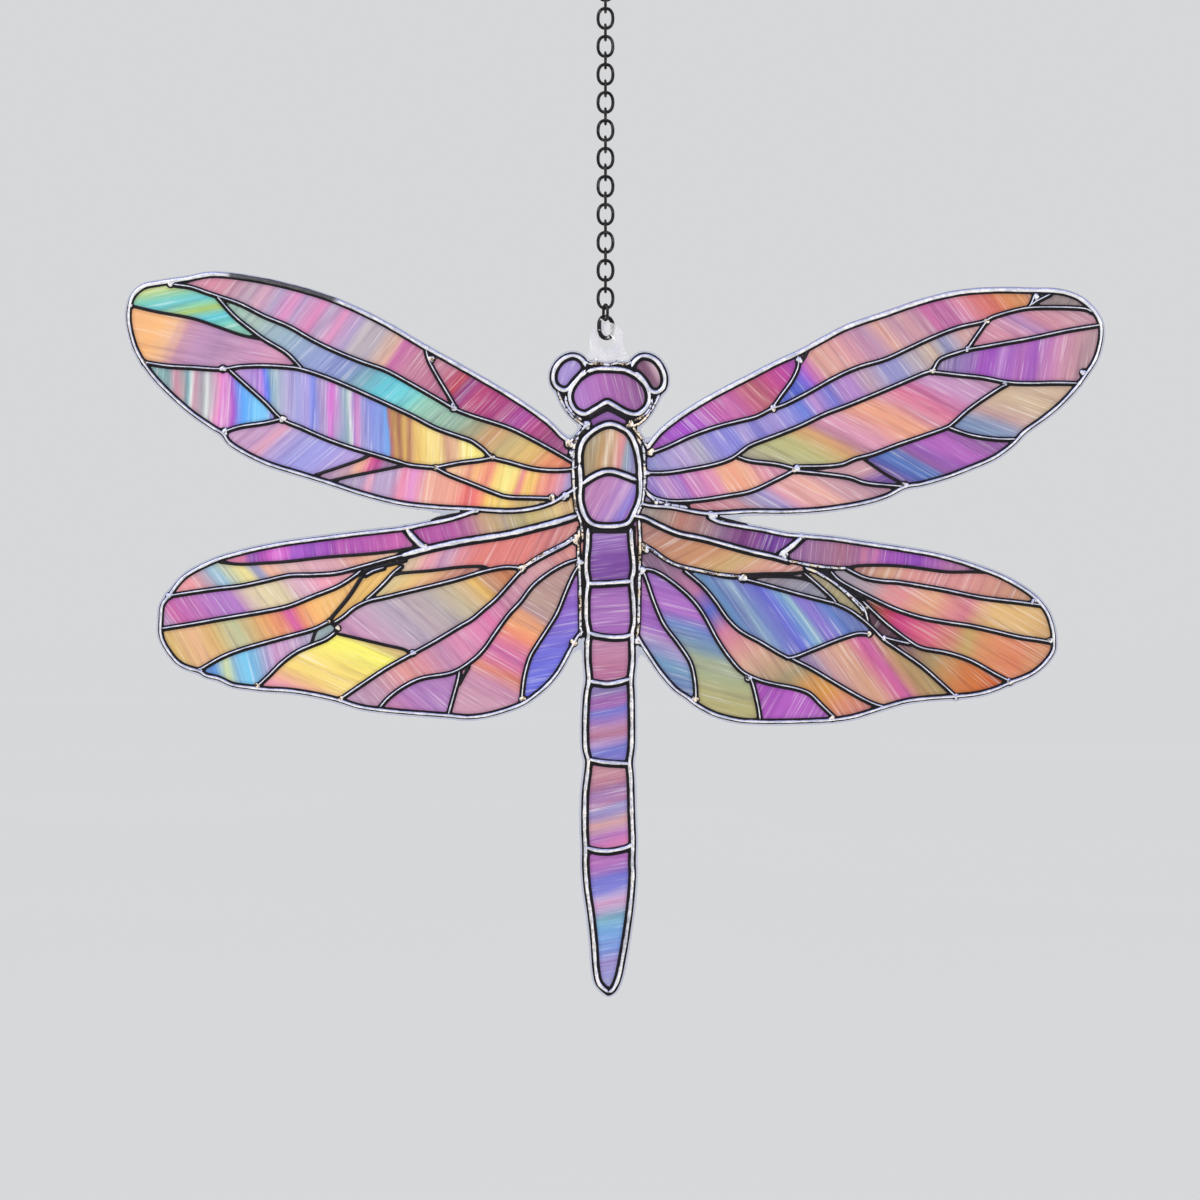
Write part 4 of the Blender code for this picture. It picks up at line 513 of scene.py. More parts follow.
    ((35, -56), "x", 125, (17, 105, 140, 175), (20, 115, 155, 180), (23, 100, 140, 190),
     (26, 120, 140, 190), (28, 150, 180, 205), (30, 120, 140, 200), (33, 115, 120, 200),
     (36, 110, 115, 215), (38.5, 105, 140, 210), (41, 150, 190, 205), (43, 130, 125, 205),
     (45, 145, 120, 210), (47.5, 120, 130, 205), (50, 100, 130, 200), (53, 110, 125, 185)),
    ((55, -66), "x", 125, (40, 150, 130, 170), (43, 190, 150, 160), (47, 210, 160, 145),
     (51, 215, 165, 135), (54.5, 210, 145, 145), (57, 208, 105, 155), (59.5, 200, 100, 160),
     (62, 200, 140, 130), (65, 185, 150, 105), (69, 175, 150, 105)),
    ((24, -58.8), "x", (35, 125), (7, 130, 105, 130), (12, 145, 110, 140), (15, 175, 120, 155),
     (17.5, 185, 120, 165), (19.5, 130, 110, 190), (21.5, 95, 110, 200), (23.5, 150, 115, 175),
     (25.5, 205, 125, 160), (29, 215, 150, 150), (32.5, 215, 170, 150), (36, 190, 160, 130),
     (39, 165, 150, 115), (41.5, 205, 150, 90), (44.5, 215, 150, 75), (48, 215, 140, 110),
     (52, 200, 125, 125)),
    ((37, -74.5), "x", 60, (32, 170, 85, 185), (38, 185, 100, 200), (45, 170, 95, 185)),
    ((22, -66), "y", 165, (-77, 185, 175, 120), (-72, 180, 175, 125), (-68, 165, 175, 140),
     (-65, 165, 175, 150), (-62.5, 120, 150, 180), (-60, 115, 140, 200), (-57, 175, 115, 200),
     (-54, 170, 110, 195), (-50, 150, 110, 190), (-47, 140, 110, 185)),
    ((10, -60), "y", 165, (-73, 125, 120, 195), (-70, 115, 140, 190), (-66, 115, 155, 190),
     (-63.5, 150, 150, 200), (-62, 185, 160, 205), (-60, 160, 110, 190), (-56, 155, 95, 185),
     (-52, 170, 110, 180), (-47, 175, 115, 170)),
    ((-7.8, -6.2), "y", 70, (-9, 165, 145, 210), (-3, 172, 155, 218)),
    ((9.4, -6.3), "y", 120, (-9.5, 120, 80, 110), (-7, 140, 100, 125), (-5.5, 205, 170, 185),
     (-4, 235, 215, 220)),
    ((0, -8.8), "x", 105, (-7, 180, 130, 205), (-4, 182, 125, 200), (0, 178, 112, 185), (4, 160, 100, 165),
     (8, 140, 90, 145)),
    ((0.8, -15.7), "y", 0, (-17, 138, 92, 162), (-14.5, 148, 100, 172)),
    ((1, -22), "x", 87, (-4.5, 165, 150, 115), (-2, 175, 155, 120), (-.5, 190, 150, 105),
     (.5, 235, 215, 190), (1.6, 200, 160, 120), (2.6, 220, 160, 150), (3.4, 215, 140, 150),
     (4.4, 150, 165, 180), (5.5, 140, 150, 190), (6.8, 145, 130, 185)),
    ((1, -32), "x", 62, (-5, 185, 130, 180), (-1, 190, 135, 190), (1.5, 180, 135, 200),
     (2.7, 205, 165, 210), (4, 165, 135, 205), (5.2, 140, 122, 212), (7, 165, 120, 200)),
    ((1, -44), "y", 8, (-49, 125, 80, 160), (-44, 130, 82, 165), (-41, 145, 100, 180),
     (-39, 165, 130, 195)),
    ((1, -55.5), "y", 5, (-60, 165, 105, 185), (-56, 172, 118, 190), (-51, 165, 110, 185)),
    ((1, -66), "y", 5, (-69.5, 185, 115, 160), (-66, 192, 128, 160), (-62, 190, 135, 170)),
    ((1, -79), "y", 12, (-85.5, 130, 125, 205), (-83.5, 120, 125, 210), (-82.3, 180, 150, 205),
     (-80.5, 182, 120, 150), (-79, 190, 140, 175), (-77.5, 160, 125, 195), (-75.6, 118, 120, 206),
     (-74.2, 165, 110, 180), (-73, 160, 105, 175), (-71.5, 140, 125, 180)),
    ((1, -96), "y", 12, (-103.5, 215, 130, 185), (-101.5, 182, 120, 190), (-100, 205, 160, 190),
     (-98.6, 215, 165, 165), (-97.2, 165, 145, 195), (-95.5, 155, 150, 202), (-94.2, 180, 130, 175),
     (-92.5, 165, 125, 180), (-90.5, 185, 125, 150), (-88, 195, 140, 155)),
    ((1, -115), "y", 10, (-133, 165, 165, 215), (-130, 155, 155, 215), (-127.5, 165, 150, 210),
     (-125, 130, 155, 225), (-122, 122, 168, 226), (-119.5, 125, 180, 215), (-118, 135, 185, 205),
     (-116.4, 180, 165, 205), (-115, 215, 165, 205), (-113.3, 185, 170, 220), (-112, 130, 130, 215),
     (-110.3, 122, 122, 212), (-108.6, 165, 120, 195), (-106.5, 182, 115, 190)),
)
PRINT_DEPTH = 0.04
EDGE_TRIM = 0.16
EDGE_STEPS = 2


def spread_labels(labels, open_ground):
    """Grows every label into its open neighbours, one grid step at a time, until nothing changes."""
    while True:
        before = np.count_nonzero(labels)
        for shift, axis in ((1, 0), (-1, 0), (1, 1), (-1, 1)):
            neighbour = np.roll(labels, shift, axis)
            take = (labels == 0) & open_ground & (neighbour > 0)
            labels[take] = neighbour[take]
        if np.count_nonzero(labels) == before:
            return


def smooth_noise(u, v, seed):
    """Sum of sine waves of random direction and phase, between about -1 and 1."""
    random = np.random.default_rng(seed)
    total = np.zeros_like(u)
    for wave in range(6):
        a, b = random.normal(size=2)
        total += np.sin(a * u + b * v + random.uniform(0, 6.28)) / 3.0
    return total


OUTSIDE = len(CELLS) + 1
BORDER_STEPS = 5
labels = np.zeros(grid_x.shape, dtype=int)
labels[0, :] = OUTSIDE
labels[-1, :] = OUTSIDE
for number, (seed, *_) in enumerate(CELLS):
    column = int(round((seed[0] - grid_x[0, 0]) / GRID))
    row = int(round((seed[1] - grid_y[0, 0]) / GRID))
    labels[row, column] = number + 1
spread_labels(labels, border_and_shadow > 0.0)
outside = labels == OUTSIDE
cells_only = np.where(outside, 0, labels)
for ring in range(BORDER_STEPS):
    for shift, axis in ((1, 0), (-1, 0), (1, 1), (-1, 1)):
        neighbour = np.roll(cells_only, shift, axis)
        take = (cells_only == 0) & (neighbour > 0)
        cells_only[take] = neighbour[take]

glass_colour = np.full(grid_x.shape + (3,), 0.02)
streak_place = np.zeros(grid_x.shape + (3,))
for number, (seed, axis, angle, *stops) in enumerate(CELLS):
    here = cells_only == number + 1
    x, y = grid_x[here], grid_y[here]
    if len(x) < 3:
        continue
    middle = np.array([x.mean(), y.mean()])
    lean, grain = angle if isinstance(angle, tuple) else (angle, angle)
    run = np.array([math.cos(math.radians(lean)), math.sin(math.radians(lean))])
    if axis == "y":
        spine = np.array([0.0, 1.0])
    else:
        spine = np.linalg.eigh(np.cov(x - middle[0], y - middle[1]))[1][:, 1]
        spine = spine * math.copysign(1.0, spine[0])
    cross = spine[0] * run[1] - spine[1] * run[0]
    dx, dy = x - middle[0], y - middle[1]
    across = (dx * run[1] - dy * run[0]) / cross
    along = (spine[0] * dy - spine[1] * dx) / cross
    wobble = 0.35 * smooth_noise(across * 1.1, along * 0.25, number) + 0.3 * np.sin(along * 0.3 + number)
    place = middle["xy".index(axis)] + (across + wobble) * spine["xy".index(axis)]
    table = np.array(sorted(stops), dtype=float)
    for channel in range(3):
        value = np.interp(place, table[:, 0], table[:, channel + 1]) / 255.0
        glass_colour[here, channel] = ((value + 0.055) / 1.055) ** 2.4
    c, d = math.cos(math.radians(grain)), math.sin(math.radians(grain))
    streak_place[here] = np.column_stack([dx * d - dy * c, dx * c + dy * d, np.full(len(x), number * 3.7)])


def trimmed_grid(field):
    """Grid faces where the field is below zero at some corner. Corners above zero slide down its slope
    onto the zero line, so the edge runs smoothly. Gives points, faces and the grid places used."""
    slope_y, slope_x = np.gradient(field, GRID)
    slide = np.where(field > 0, field / np.maximum(slope_x**2 + slope_y**2, 0.25), 0.0)
    slide = np.minimum(slide, GRID * 1.5)
    x = grid_x - slope_x * slide
    y = grid_y - slope_y * slide
    inside = field < 0
    kept = inside[:-1, :-1] | inside[1:, :-1] | inside[:-1, 1:] | inside[1:, 1:]
    number = np.arange(field.size).reshape(field.shape)
    faces = np.stack([number[:-1, :-1], number[:-1, 1:], number[1:, 1:], number[1:, :-1]], axis=-1)[kept]
    used, faces = np.unique(faces, return_inverse=True)
    points = np.column_stack([x.ravel()[used], y.ravel()[used]])
    return points, faces.reshape(-1, 4), used


def mesh_piece(name, points, faces, smooth=True):
    """A new object at the origin from vertex places in metres and faces of vertex numbers."""
    data = bpy.data.meshes.new(name)
    data.from_pydata(np.asarray(points).tolist(), [], [list(face) for face in faces])
    data.update()
    data.polygons.foreach_set("use_smooth", np.full(len(data.polygons), smooth))
    piece = bpy.data.objects.new(name, data)
    bpy.context.scene.collection.objects.link(piece)
    return piece


def wrapped_faces(rows, columns, closed=False):
    """Faces of a grid of points whose rows each close on themselves. Where closed, the last row also meets
    the first, and the faces turn the other way."""
    number = np.arange(rows * columns).reshape(rows, columns)
    if closed:
        over = np.roll(number, -1, axis=0)
        corners = [number, over, np.roll(over, -1, axis=1), np.roll(number, -1, axis=1)]
    else:
        here, there = number[:-1], number[1:]
        corners = [here, np.roll(here, -1, axis=1), np.roll(there, -1, axis=1), there]
    return np.stack(corners, axis=-1).reshape(-1, 4)


def to_frame(flat, depth):
    """Drawing millimetres to metres in the part's frame; depth is millimetres behind the sheet's middle."""
    depth = np.broadcast_to(depth, len(flat))
    return np.column_stack([flat[:, 0] * MM, depth * MM, hole_height + flat[:, 1] * MM])


SHEET_FRONT = -0.75
SHEET_BACK = 0.75
near_edge = outside.copy()
for step in range(EDGE_STEPS):
    near_edge |= (np.roll(near_edge, 1, 0) | np.roll(near_edge, -1, 0)
                  | np.roll(near_edge, 1, 1) | np.roll(near_edge, -1, 1))
print_field = np.where(near_edge, border_and_shadow + EDGE_TRIM, -np.abs(border_and_shadow) - 0.001)
flat, faces, used = trimmed_grid(print_field)
stained_print = mesh_piece("stained_print", to_frame(flat, SHEET_FRONT - PRINT_DEPTH), faces)


def point_attribute(piece, name, kind, values):
    """Stores one value a vertex, as an attribute that the piece's material reads."""
    attribute = piece.data.attributes.new(name, kind, "POINT")
    field = {"FLOAT": "value", "FLOAT_VECTOR": "vector", "FLOAT_COLOR": "color"}[kind]
    attribute.data.foreach_set(field, np.asarray(values, dtype=np.float32).ravel())


picked = glass_colour.reshape(-1, 3)[used]
point_attribute(stained_print, "glass", "FLOAT_COLOR", np.column_stack([picked, np.ones(len(picked))]))
point_attribute(stained_print, "streak", "FLOAT_VECTOR", streak_place.reshape(-1, 3)[used])
point_attribute(stained_print, "border_and_shadow", "FLOAT", np.where(outside, 0.0, border_and_shadow).ravel()[used])


class Nodes:
    """Short calls for placing and joining the nodes of one tree."""

    def __init__(self, tree):
        self.tree = tree

    def add(self, kind, **settings):
        node = self.tree.nodes.new(kind)
        for name, value in settings.items():
            setattr(node, name, value)
        return node

    def join(self, output, target):
        self.tree.links.new(output, target)

    def feed(self, node, index, value):
        if isinstance(value, bpy.types.NodeSocket):
            self.join(value, node.inputs[index])
        else:
            node.inputs[index].default_value = value

    def maths(self, operation, a, b=0.0):
        node = self.add("ShaderNodeMath", operation=operation)
        self.feed(node, 0, a)
        self.feed(node, 1, b)
        return node.outputs[0]

    def mix(self, factor, a, b, blend="MIX"):
        node = self.add("ShaderNodeMix", data_type="RGBA", blend_type=blend)
        self.feed(node, 0, factor)
        self.feed(node, 6, a)
        self.feed(node, 7, b)
        return node.outputs[2]

    def ramp(self, value, low, high):
        node = self.add("ShaderNodeMapRange", interpolation_type="SMOOTHSTEP")
        self.feed(node, 0, value)
        self.feed(node, 1, low)
        self.feed(node, 2, high)
        return node.outputs[0]

    def noise(self, place, scale, detail=3.0, roughness=0.55):
        node = self.add("ShaderNodeTexNoise")
        self.join(place, node.inputs["Vector"])
        node.inputs["Scale"].default_value = scale
        node.inputs["Detail"].default_value = detail
        node.inputs["Roughness"].default_value = roughness
        return node.outputs["Fac"]

    def stretch(self, place, scale):
        node = self.add("ShaderNodeMapping")
        self.join(place, node.inputs["Vector"])
        node.inputs["Scale"].default_value = scale
        return node.outputs["Vector"]

    def attribute(self, name):
        return self.add("ShaderNodeAttribute", attribute_name=name)


def new_material(name, **values):
    """A material with one Principled shader set to plain values; gives it, its nodes and the shader."""
    material = bpy.data.materials.new(name)
    material.use_nodes = True
    shader = material.node_tree.nodes["Principled BSDF"]
    for socket, value in values.items():
        shader.inputs[socket.replace("_", " ")].default_value = value
    return material, Nodes(material.node_tree), shader


glass_print, n, shader = new_material("glass_print", Specular_IOR_Level=0.22, IOR=1.49)
streak = n.attribute("streak").outputs["Vector"]
broad = n.noise(n.stretch(streak, (0.8, 0.05, 1.0)), 1.0, 4.0, 0.6)
narrow = n.noise(n.stretch(streak, (2.8, 0.07, 1.0)), 1.0, 3.0, 0.6)
wisp = n.noise(n.stretch(streak, (1.9, 0.06, 1.0)), 1.0, 2.0, 0.5)
colour = n.mix(1.0, n.attribute("glass").outputs["Color"], (0.86, 0.84, 0.82, 1.0), "MULTIPLY")
deep = n.mix(1.0, colour, (0.62, 0.56, 0.70, 1.0), "MULTIPLY")
light = n.mix(0.55, colour, (1.0, 0.97, 0.95, 1.0))
colour = n.mix(n.maths("MULTIPLY", n.ramp(broad, 0.56, 0.28), 0.60), colour, deep)
colour = n.mix(n.maths("MULTIPLY", n.ramp(narrow, 0.52, 0.72), 0.26), colour, light)
colour = n.mix(n.maths("MULTIPLY", n.ramp(wisp, 0.58, 0.70), 0.38), colour, light)
# Painted shade: the glass darkens towards the lead lines' dark borders, as if shaded by the raised lines.
edge = n.attribute("border_and_shadow").outputs["Fac"]
painted_shade = n.maths("MULTIPLY", n.ramp(edge, 0.9, 0.0), 0.35)
colour = n.mix(painted_shade, colour, n.mix(1.0, colour, (0.30, 0.26, 0.36, 1.0), "MULTIPLY"))
inside_cell = n.ramp(edge, -0.02, 0.14)
n.join(n.mix(inside_cell, (0.004, 0.003, 0.005, 1.0), colour), shader.inputs["Base Color"])
n.join(n.ramp(broad, -0.6, 2.4), shader.inputs["Roughness"])
bump = n.add("ShaderNodeBump")
bump.inputs["Strength"].default_value = 0.12
bump.inputs["Distance"].default_value = 0.0003
n.join(narrow, bump.inputs["Height"])
n.join(bump.outputs["Normal"], shader.inputs["Normal"])
stained_print.data.materials.append(glass_print)


# The clear sheet under the print: 1.5 mm acrylic, cut a little outside the lead outline with square edges.
CLEAR_RIM = 0.25
RIM_BLURS = 6


def slab(flat, faces, front, back):
    """The flat faces twice, front and back, joined by a wall along every edge that only one face has."""
    count = len(flat)
    edges = np.vstack([faces[:, [0, 1]], faces[:, [1, 2]], faces[:, [2, 3]], faces[:, [3, 0]]])
    forward = edges[:, 0] * count + edges[:, 1]
    open_edges = edges[~np.isin(forward, edges[:, 1] * count + edges[:, 0])]
    walls = np.column_stack([open_edges[:, 1], open_edges[:, 0],
                             open_edges[:, 0] + count, open_edges[:, 1] + count])
    points = np.vstack([to_frame(flat, front), to_frame(flat, back)])
    return points, np.vstack([faces, faces[:, ::-1] + count, walls])


rim_field = np.where(outside, border_and_shadow - CLEAR_RIM, -np.abs(border_and_shadow) - CLEAR_RIM)
for blur in range(RIM_BLURS):
    rim_field = (rim_field + np.roll(rim_field, 1, 0) + np.roll(rim_field, -1, 0)
                 + np.roll(rim_field, 1, 1) + np.roll(rim_field, -1, 1)) / 5
flat, faces = trimmed_grid(rim_field)[:2]
clear_sheet = mesh_piece("clear_sheet", *slab(flat, faces, SHEET_FRONT, SHEET_BACK), smooth=False)
shell = bmesh.new()
shell.from_mesh(clear_sheet.data)
for facing in (-1.0, 1.0):
    level = [face for face in shell.faces if face.normal.y * facing > 0.9]
    bmesh.ops.dissolve_faces(shell, faces=level)
bmesh.ops.triangulate(shell, faces=shell.faces[:])
shell.to_mesh(clear_sheet.data)
shell.free()
clear_acrylic, n, shader = new_material("clear_acrylic", Transmission_Weight=1.0, IOR=1.49)
place = n.add("ShaderNodeTexCoord").outputs["Object"]
haze = n.noise(place, 400.0, 3.0)
n.join(n.mix(haze, (0.66, 0.68, 0.84, 1.0), (0.84, 0.86, 0.95, 1.0)), shader.inputs["Base Color"])
n.join(n.ramp(haze, -1.2, 6.0), shader.inputs["Roughness"])
clear_sheet.data.materials.append(clear_acrylic)


# The hanging tab: the same sheet's round-ended tongue above the head, milky clear, drilled for the ring.
TAB_CENTRE = (0.25, 0.67)
TAB_RADIUS = 3.45
TAB_HOLE = (0.1, 0.1)
TAB_HOLE_RADIUS = 1.65


def tab_outline(turn):
    """Distance from the tab's middle to its edge at an angle: a circle above, flaring to the head below."""
    down = np.clip(-np.sin(turn), 0.0, 1.0)
    shoulders = np.exp(-((np.abs(np.cos(turn)) - 0.70) / 0.12) ** 2) * np.clip(4 * down, 0.0, 1.0)
    return TAB_RADIUS + 1.9 * down**3 + 2.6 * shoulders


turn = np.linspace(0.0, 2 * math.pi, 96, endpoint=False)
around = np.column_stack([np.cos(turn), np.sin(turn)])
outer = np.array(TAB_CENTRE) + around * tab_outline(turn)[:, None]
inner = np.array(TAB_HOLE) + around * TAB_HOLE_RADIUS
EASE = 0.2
TAB_FRONT = SHEET_FRONT - 0.02
TAB_BACK = SHEET_BACK + 0.02
LEVEL = EASE + 0.06
rounding = [(EASE * (1 - math.sin(a)), EASE * (1 - math.cos(a)))
            for a in np.radians([0.0, 30.0, 60.0, 90.0])]
profile = ([(0, inset, TAB_FRONT + deep) for inset, deep in rounding[::-1]]
           + [(0, LEVEL, TAB_FRONT), (1, LEVEL, TAB_FRONT)]
           + [(1, inset, TAB_FRONT + deep) for inset, deep in rounding]
           + [(1, inset, TAB_BACK - deep) for inset, deep in rounding[::-1]]
           + [(1, LEVEL, TAB_BACK), (0, LEVEL, TAB_BACK)]
           + [(0, inset, TAB_BACK - deep) for inset, deep in rounding])
rings = []
for side, inset, depth in profile:
    edge_line = outer - around * inset if side else inner + around * inset
    rings.append(to_frame(edge_line, depth))
tab_faces = wrapped_faces(len(rings), len(turn), closed=True)
clear_tab = mesh_piece("clear_tab", np.vstack(rings), tab_faces)
frosted_acrylic, n, shader = new_material("frosted_acrylic", Transmission_Weight=0.72, IOR=1.49)
place = n.add("ShaderNodeTexCoord").outputs["Object"]
haze = n.noise(place, 260.0, 2.0)
n.join(n.mix(n.ramp(haze, 0.3, 0.7), (0.86, 0.84, 0.92, 1.0), (1.0, 1.0, 1.0, 1.0)),
       shader.inputs["Base Color"])
n.join(n.ramp(haze, -1.0, 3.0), shader.inputs["Roughness"])
clear_tab.data.materials.append(frosted_acrylic)


# The raised lead lines: rounded silver crowns over the printed dark borders, one piece for each wing and
# one for the body, with fine black lines beside them.
CROWN_COLUMNS = np.array([-1.0, -0.86, -0.5, 0.0, 0.5, 0.86, 1.0])
CROWN_HEIGHT = 0.34
# How dark the painted shade along a wing's upper edge gets
PAINTED_SHADE_DEPTH = 0.94
BEAD_SINK = 0.05


def bead(curve, half_width, height, seed, brow=0.0, painted_shade_span=None):
    """A rounded strip along a curve: its width swells and narrows as slow sine waves, its section is half an
    ellipse with a flat base, and both ends shrink to a point. The brow is added on the outer side where the
    strip runs level along a wing's upper edge, minus where it is drawn from right to left there. Each vertex
    also gets a painted shade amount, from nothing on the crown's middle to full at its edges. The last
    argument gives the four x places between which that upper edge fades into painted shade and back."""
    along = np.concatenate([[0.0], np.cumsum(np.hypot(*np.diff(curve, axis=0).T))])
    slope = np.gradient(curve, axis=0)
    side = np.column_stack([-slope[:, 1], slope[:, 0]]) / np.hypot(*slope.T)[:, None]
    swell = 1.0 + 0.10 * np.sin(along * 0.9 + seed) + 0.07 * np.sin(along * 2.3 + 2 * seed)
    taper = np.sqrt(np.clip(np.minimum(along, along[-1] - along) / (1.5 * half_width), 0.02, 1.0))
    upper = np.clip(side[:, 1:] * np.sign(brow), 0.0, 1.0)
    half = (half_width * swell * taper)[:, None] + abs(brow) / 2 * upper * taper[:, None]
    curve = curve + side * brow / 2 * upper
    x = curve[:, :1] + side[:, :1] * half * CROWN_COLUMNS
    y = curve[:, 1:] + side[:, 1:] * half * CROWN_COLUMNS
    lift = height * taper[:, None] * np.sqrt(1.0 - CROWN_COLUMNS**2) - BEAD_SINK
    depth = SHEET_FRONT - PRINT_DEPTH - lift
    rows, columns = x.shape
    points = to_frame(np.column_stack([x.ravel(), y.ravel()]), depth.ravel())
    first, last = list(range(columns)), list(range((rows - 1) * columns, rows * columns))
    faces = wrapped_faces(rows, columns).tolist() + [first, last[::-1]]
    # Painted shade at the strip's foot: darker towards both edges
    painted_shade_amount = np.broadcast_to(np.abs(CROWN_COLUMNS), x.shape).ravel()
    # Between the given x places, the whole upper edge takes painted shade.
    if painted_shade_span:
        painted_shade = np.interp(curve[:, :1], painted_shade_span, (0.0, PAINTED_SHADE_DEPTH, PAINTED_SHADE_DEPTH, 0.0)) * (upper > 0.5)
        painted_shade_amount = np.maximum(painted_shade_amount, np.broadcast_to(painted_shade, x.shape).ravel())
    return points, faces, painted_shade_amount


def joined(parts):
    """Several beads or domes as one list of points, faces and values a vertex."""
    points, faces, painted_shade_amounts = [], [], []
    start = 0
    for part_points, part_faces, painted_shade_amount in parts:
        faces += [[start + k for k in face] for face in part_faces]
        points.append(part_points)
        painted_shade_amounts.append(painted_shade_amount)
        start += len(part_points)
    return np.vstack(points), faces, np.concatenate(painted_shade_amounts)


solder_patina = bpy.data.node_groups.new("solder_patina", "ShaderNodeTree")
for label, way, kind in (("Place", "INPUT", "Vector"), ("Facing", "INPUT", "Vector"),
                         ("Painted shade amount", "INPUT", "Float"), ("Tarnish", "INPUT", "Float"),
                         ("Colour", "OUTPUT", "Color"),
                         ("Roughness", "OUTPUT", "Float"), ("Height", "OUTPUT", "Float")):
    solder_patina.interface.new_socket(label, in_out=way, socket_type="NodeSocket" + kind)
n = Nodes(solder_patina)
given = n.add("NodeGroupInput").outputs
mottle = n.noise(given["Place"], 1500.0, 4.0, 0.65)
cloud = n.noise(given["Place"], 420.0, 3.0, 0.55)
facing = n.add("ShaderNodeSeparateXYZ")
n.join(given["Facing"], facing.inputs[0])
silver = n.mix(n.ramp(cloud, 0.30, 0.62), (0.60, 0.60, 0.64, 1.0), (1.0, 0.98, 0.97, 1.0))
# Painted reflection: a lavender tint where the solder faces up.
silver = n.mix(n.ramp(facing.outputs["Z"], -0.10, 0.45), silver, (0.42, 0.45, 0.80, 1.0))
cream = n.mix(n.ramp(mottle, 0.44, 0.58), (0.34, 0.22, 0.14, 1.0), (0.95, 0.82, 0.62, 1.0))
worn = n.maths("MULTIPLY", n.ramp(cloud, 0.48, 0.60), given["Tarnish"])
colour = n.mix(worn, silver, cream)
pit_shift = n.maths("MULTIPLY", given["Tarnish"], -0.05)
pits = n.ramp(mottle, n.maths("ADD", pit_shift, 0.53), n.maths("ADD", pit_shift, 0.46))
colour = n.mix(n.maths("MULTIPLY", pits, given["Tarnish"]), colour, (0.012, 0.009, 0.012, 1.0))
# Painted shade: near black where the shade amount is high, at the foot of beads and domes and along the
# shaded upper edge
colour = n.mix(n.ramp(given["Painted shade amount"], 0.72, 1.0), colour, (0.01, 0.008, 0.01, 1.0))
result = n.add("NodeGroupOutput").inputs
n.join(colour, result["Colour"])
n.join(n.ramp(mottle, -0.3, 1.6), result["Roughness"])
n.join(mottle, result["Height"])


def solder_material(name, tarnish):
    """Tinned solder: white silver with a painted lavender reflection where it faces up and painted shade
    near black towards the foot, with cream, brown and black tarnish in small patches."""
    material, n, shader = new_material(name, Metallic=0.55, IOR=1.5)
    patina = n.add("ShaderNodeGroup", node_tree=solder_patina)
    patina.inputs["Tarnish"].default_value = tarnish
    n.join(n.add("ShaderNodeTexCoord").outputs["Object"], patina.inputs["Place"])
    n.join(n.add("ShaderNodeNewGeometry").outputs["Normal"], patina.inputs["Facing"])
    n.join(n.attribute("painted_shade_amount").outputs["Fac"], patina.inputs["Painted shade amount"])
    n.join(patina.outputs["Colour"], shader.inputs["Base Color"])
    n.join(patina.outputs["Roughness"], shader.inputs["Roughness"])
    bump = n.add("ShaderNodeBump")
    bump.inputs["Strength"].default_value = 0.2 + 0.4 * tarnish
    bump.inputs["Distance"].default_value = 0.0002
    n.join(patina.outputs["Height"], bump.inputs["Height"])
    n.join(bump.outputs["Normal"], shader.inputs["Normal"])
    return material


bright_solder = solder_material("bright_solder", 0.12)
cream_solder = solder_material("cream_solder", 0.28)
tarnished_solder = solder_material("tarnished_solder", 0.95)
black_line, n, shader = new_material("black_line", Specular_IOR_Level=0.2, IOR=1.5)
place = n.add("ShaderNodeTexCoord").outputs["Object"]
grain = n.noise(place, 700.0, 3.0)
n.join(n.mix(grain, (0.003, 0.003, 0.004, 1.0), (0.016, 0.013, 0.018, 1.0)), shader.inputs["Base Color"])
n.join(n.ramp(grain, -0.5, 2.2), shader.inputs["Roughness"])

# How much wider each wing's upper edge is, and the x places where it fades into painted shade and back
BROWS = {"left_fore": -0.35, "right_fore": 0.42, "left_hind": -0.12, "right_hind": 0.12, "body": 0.0}
PAINTED_SHADE_SPANS = {"left_fore": (-83.0, -77.0, -56.0, -49.0)}
lead_pieces = []
for wing, lines in WINGS.items():
    beads = {"crown": [], "rail": [], "strand": [], "fine": []}
    for number, (kind, *points) in enumerate(lines):
        crown, dark = KINDS[kind][:2]
        curve = curve_through(points, 0.45)
        if crown > 0.0:
            group = kind if kind in beads else "crown"
            brow, painted_shade_span = (BROWS[wing], PAINTED_SHADE_SPANS.get(wing)) if kind == "rim" else (0.0, None)
            height = CROWN_HEIGHT * (0.8 + 0.5 * crown)
            beads[group].append(bead(curve, crown, height, number + 1.0, brow, painted_shade_span))
        else:
            beads["fine"].append(bead(curve, dark * 0.9, 0.12, number + 1.0))
    for group, material in (("crown", bright_solder), ("rail", cream_solder), ("strand", tarnished_solder),
                            ("fine", black_line)):
        if not beads[group]:
            continue
        points, faces, painted_shade_amount = joined(beads[group])
        piece = mesh_piece("%s_%s_lines" % (wing, group), points, faces)
        point_attribute(piece, "painted_shade_amount", "FLOAT", painted_shade_amount)
        piece.data.materials.append(material)
        lead_pieces.append(piece)


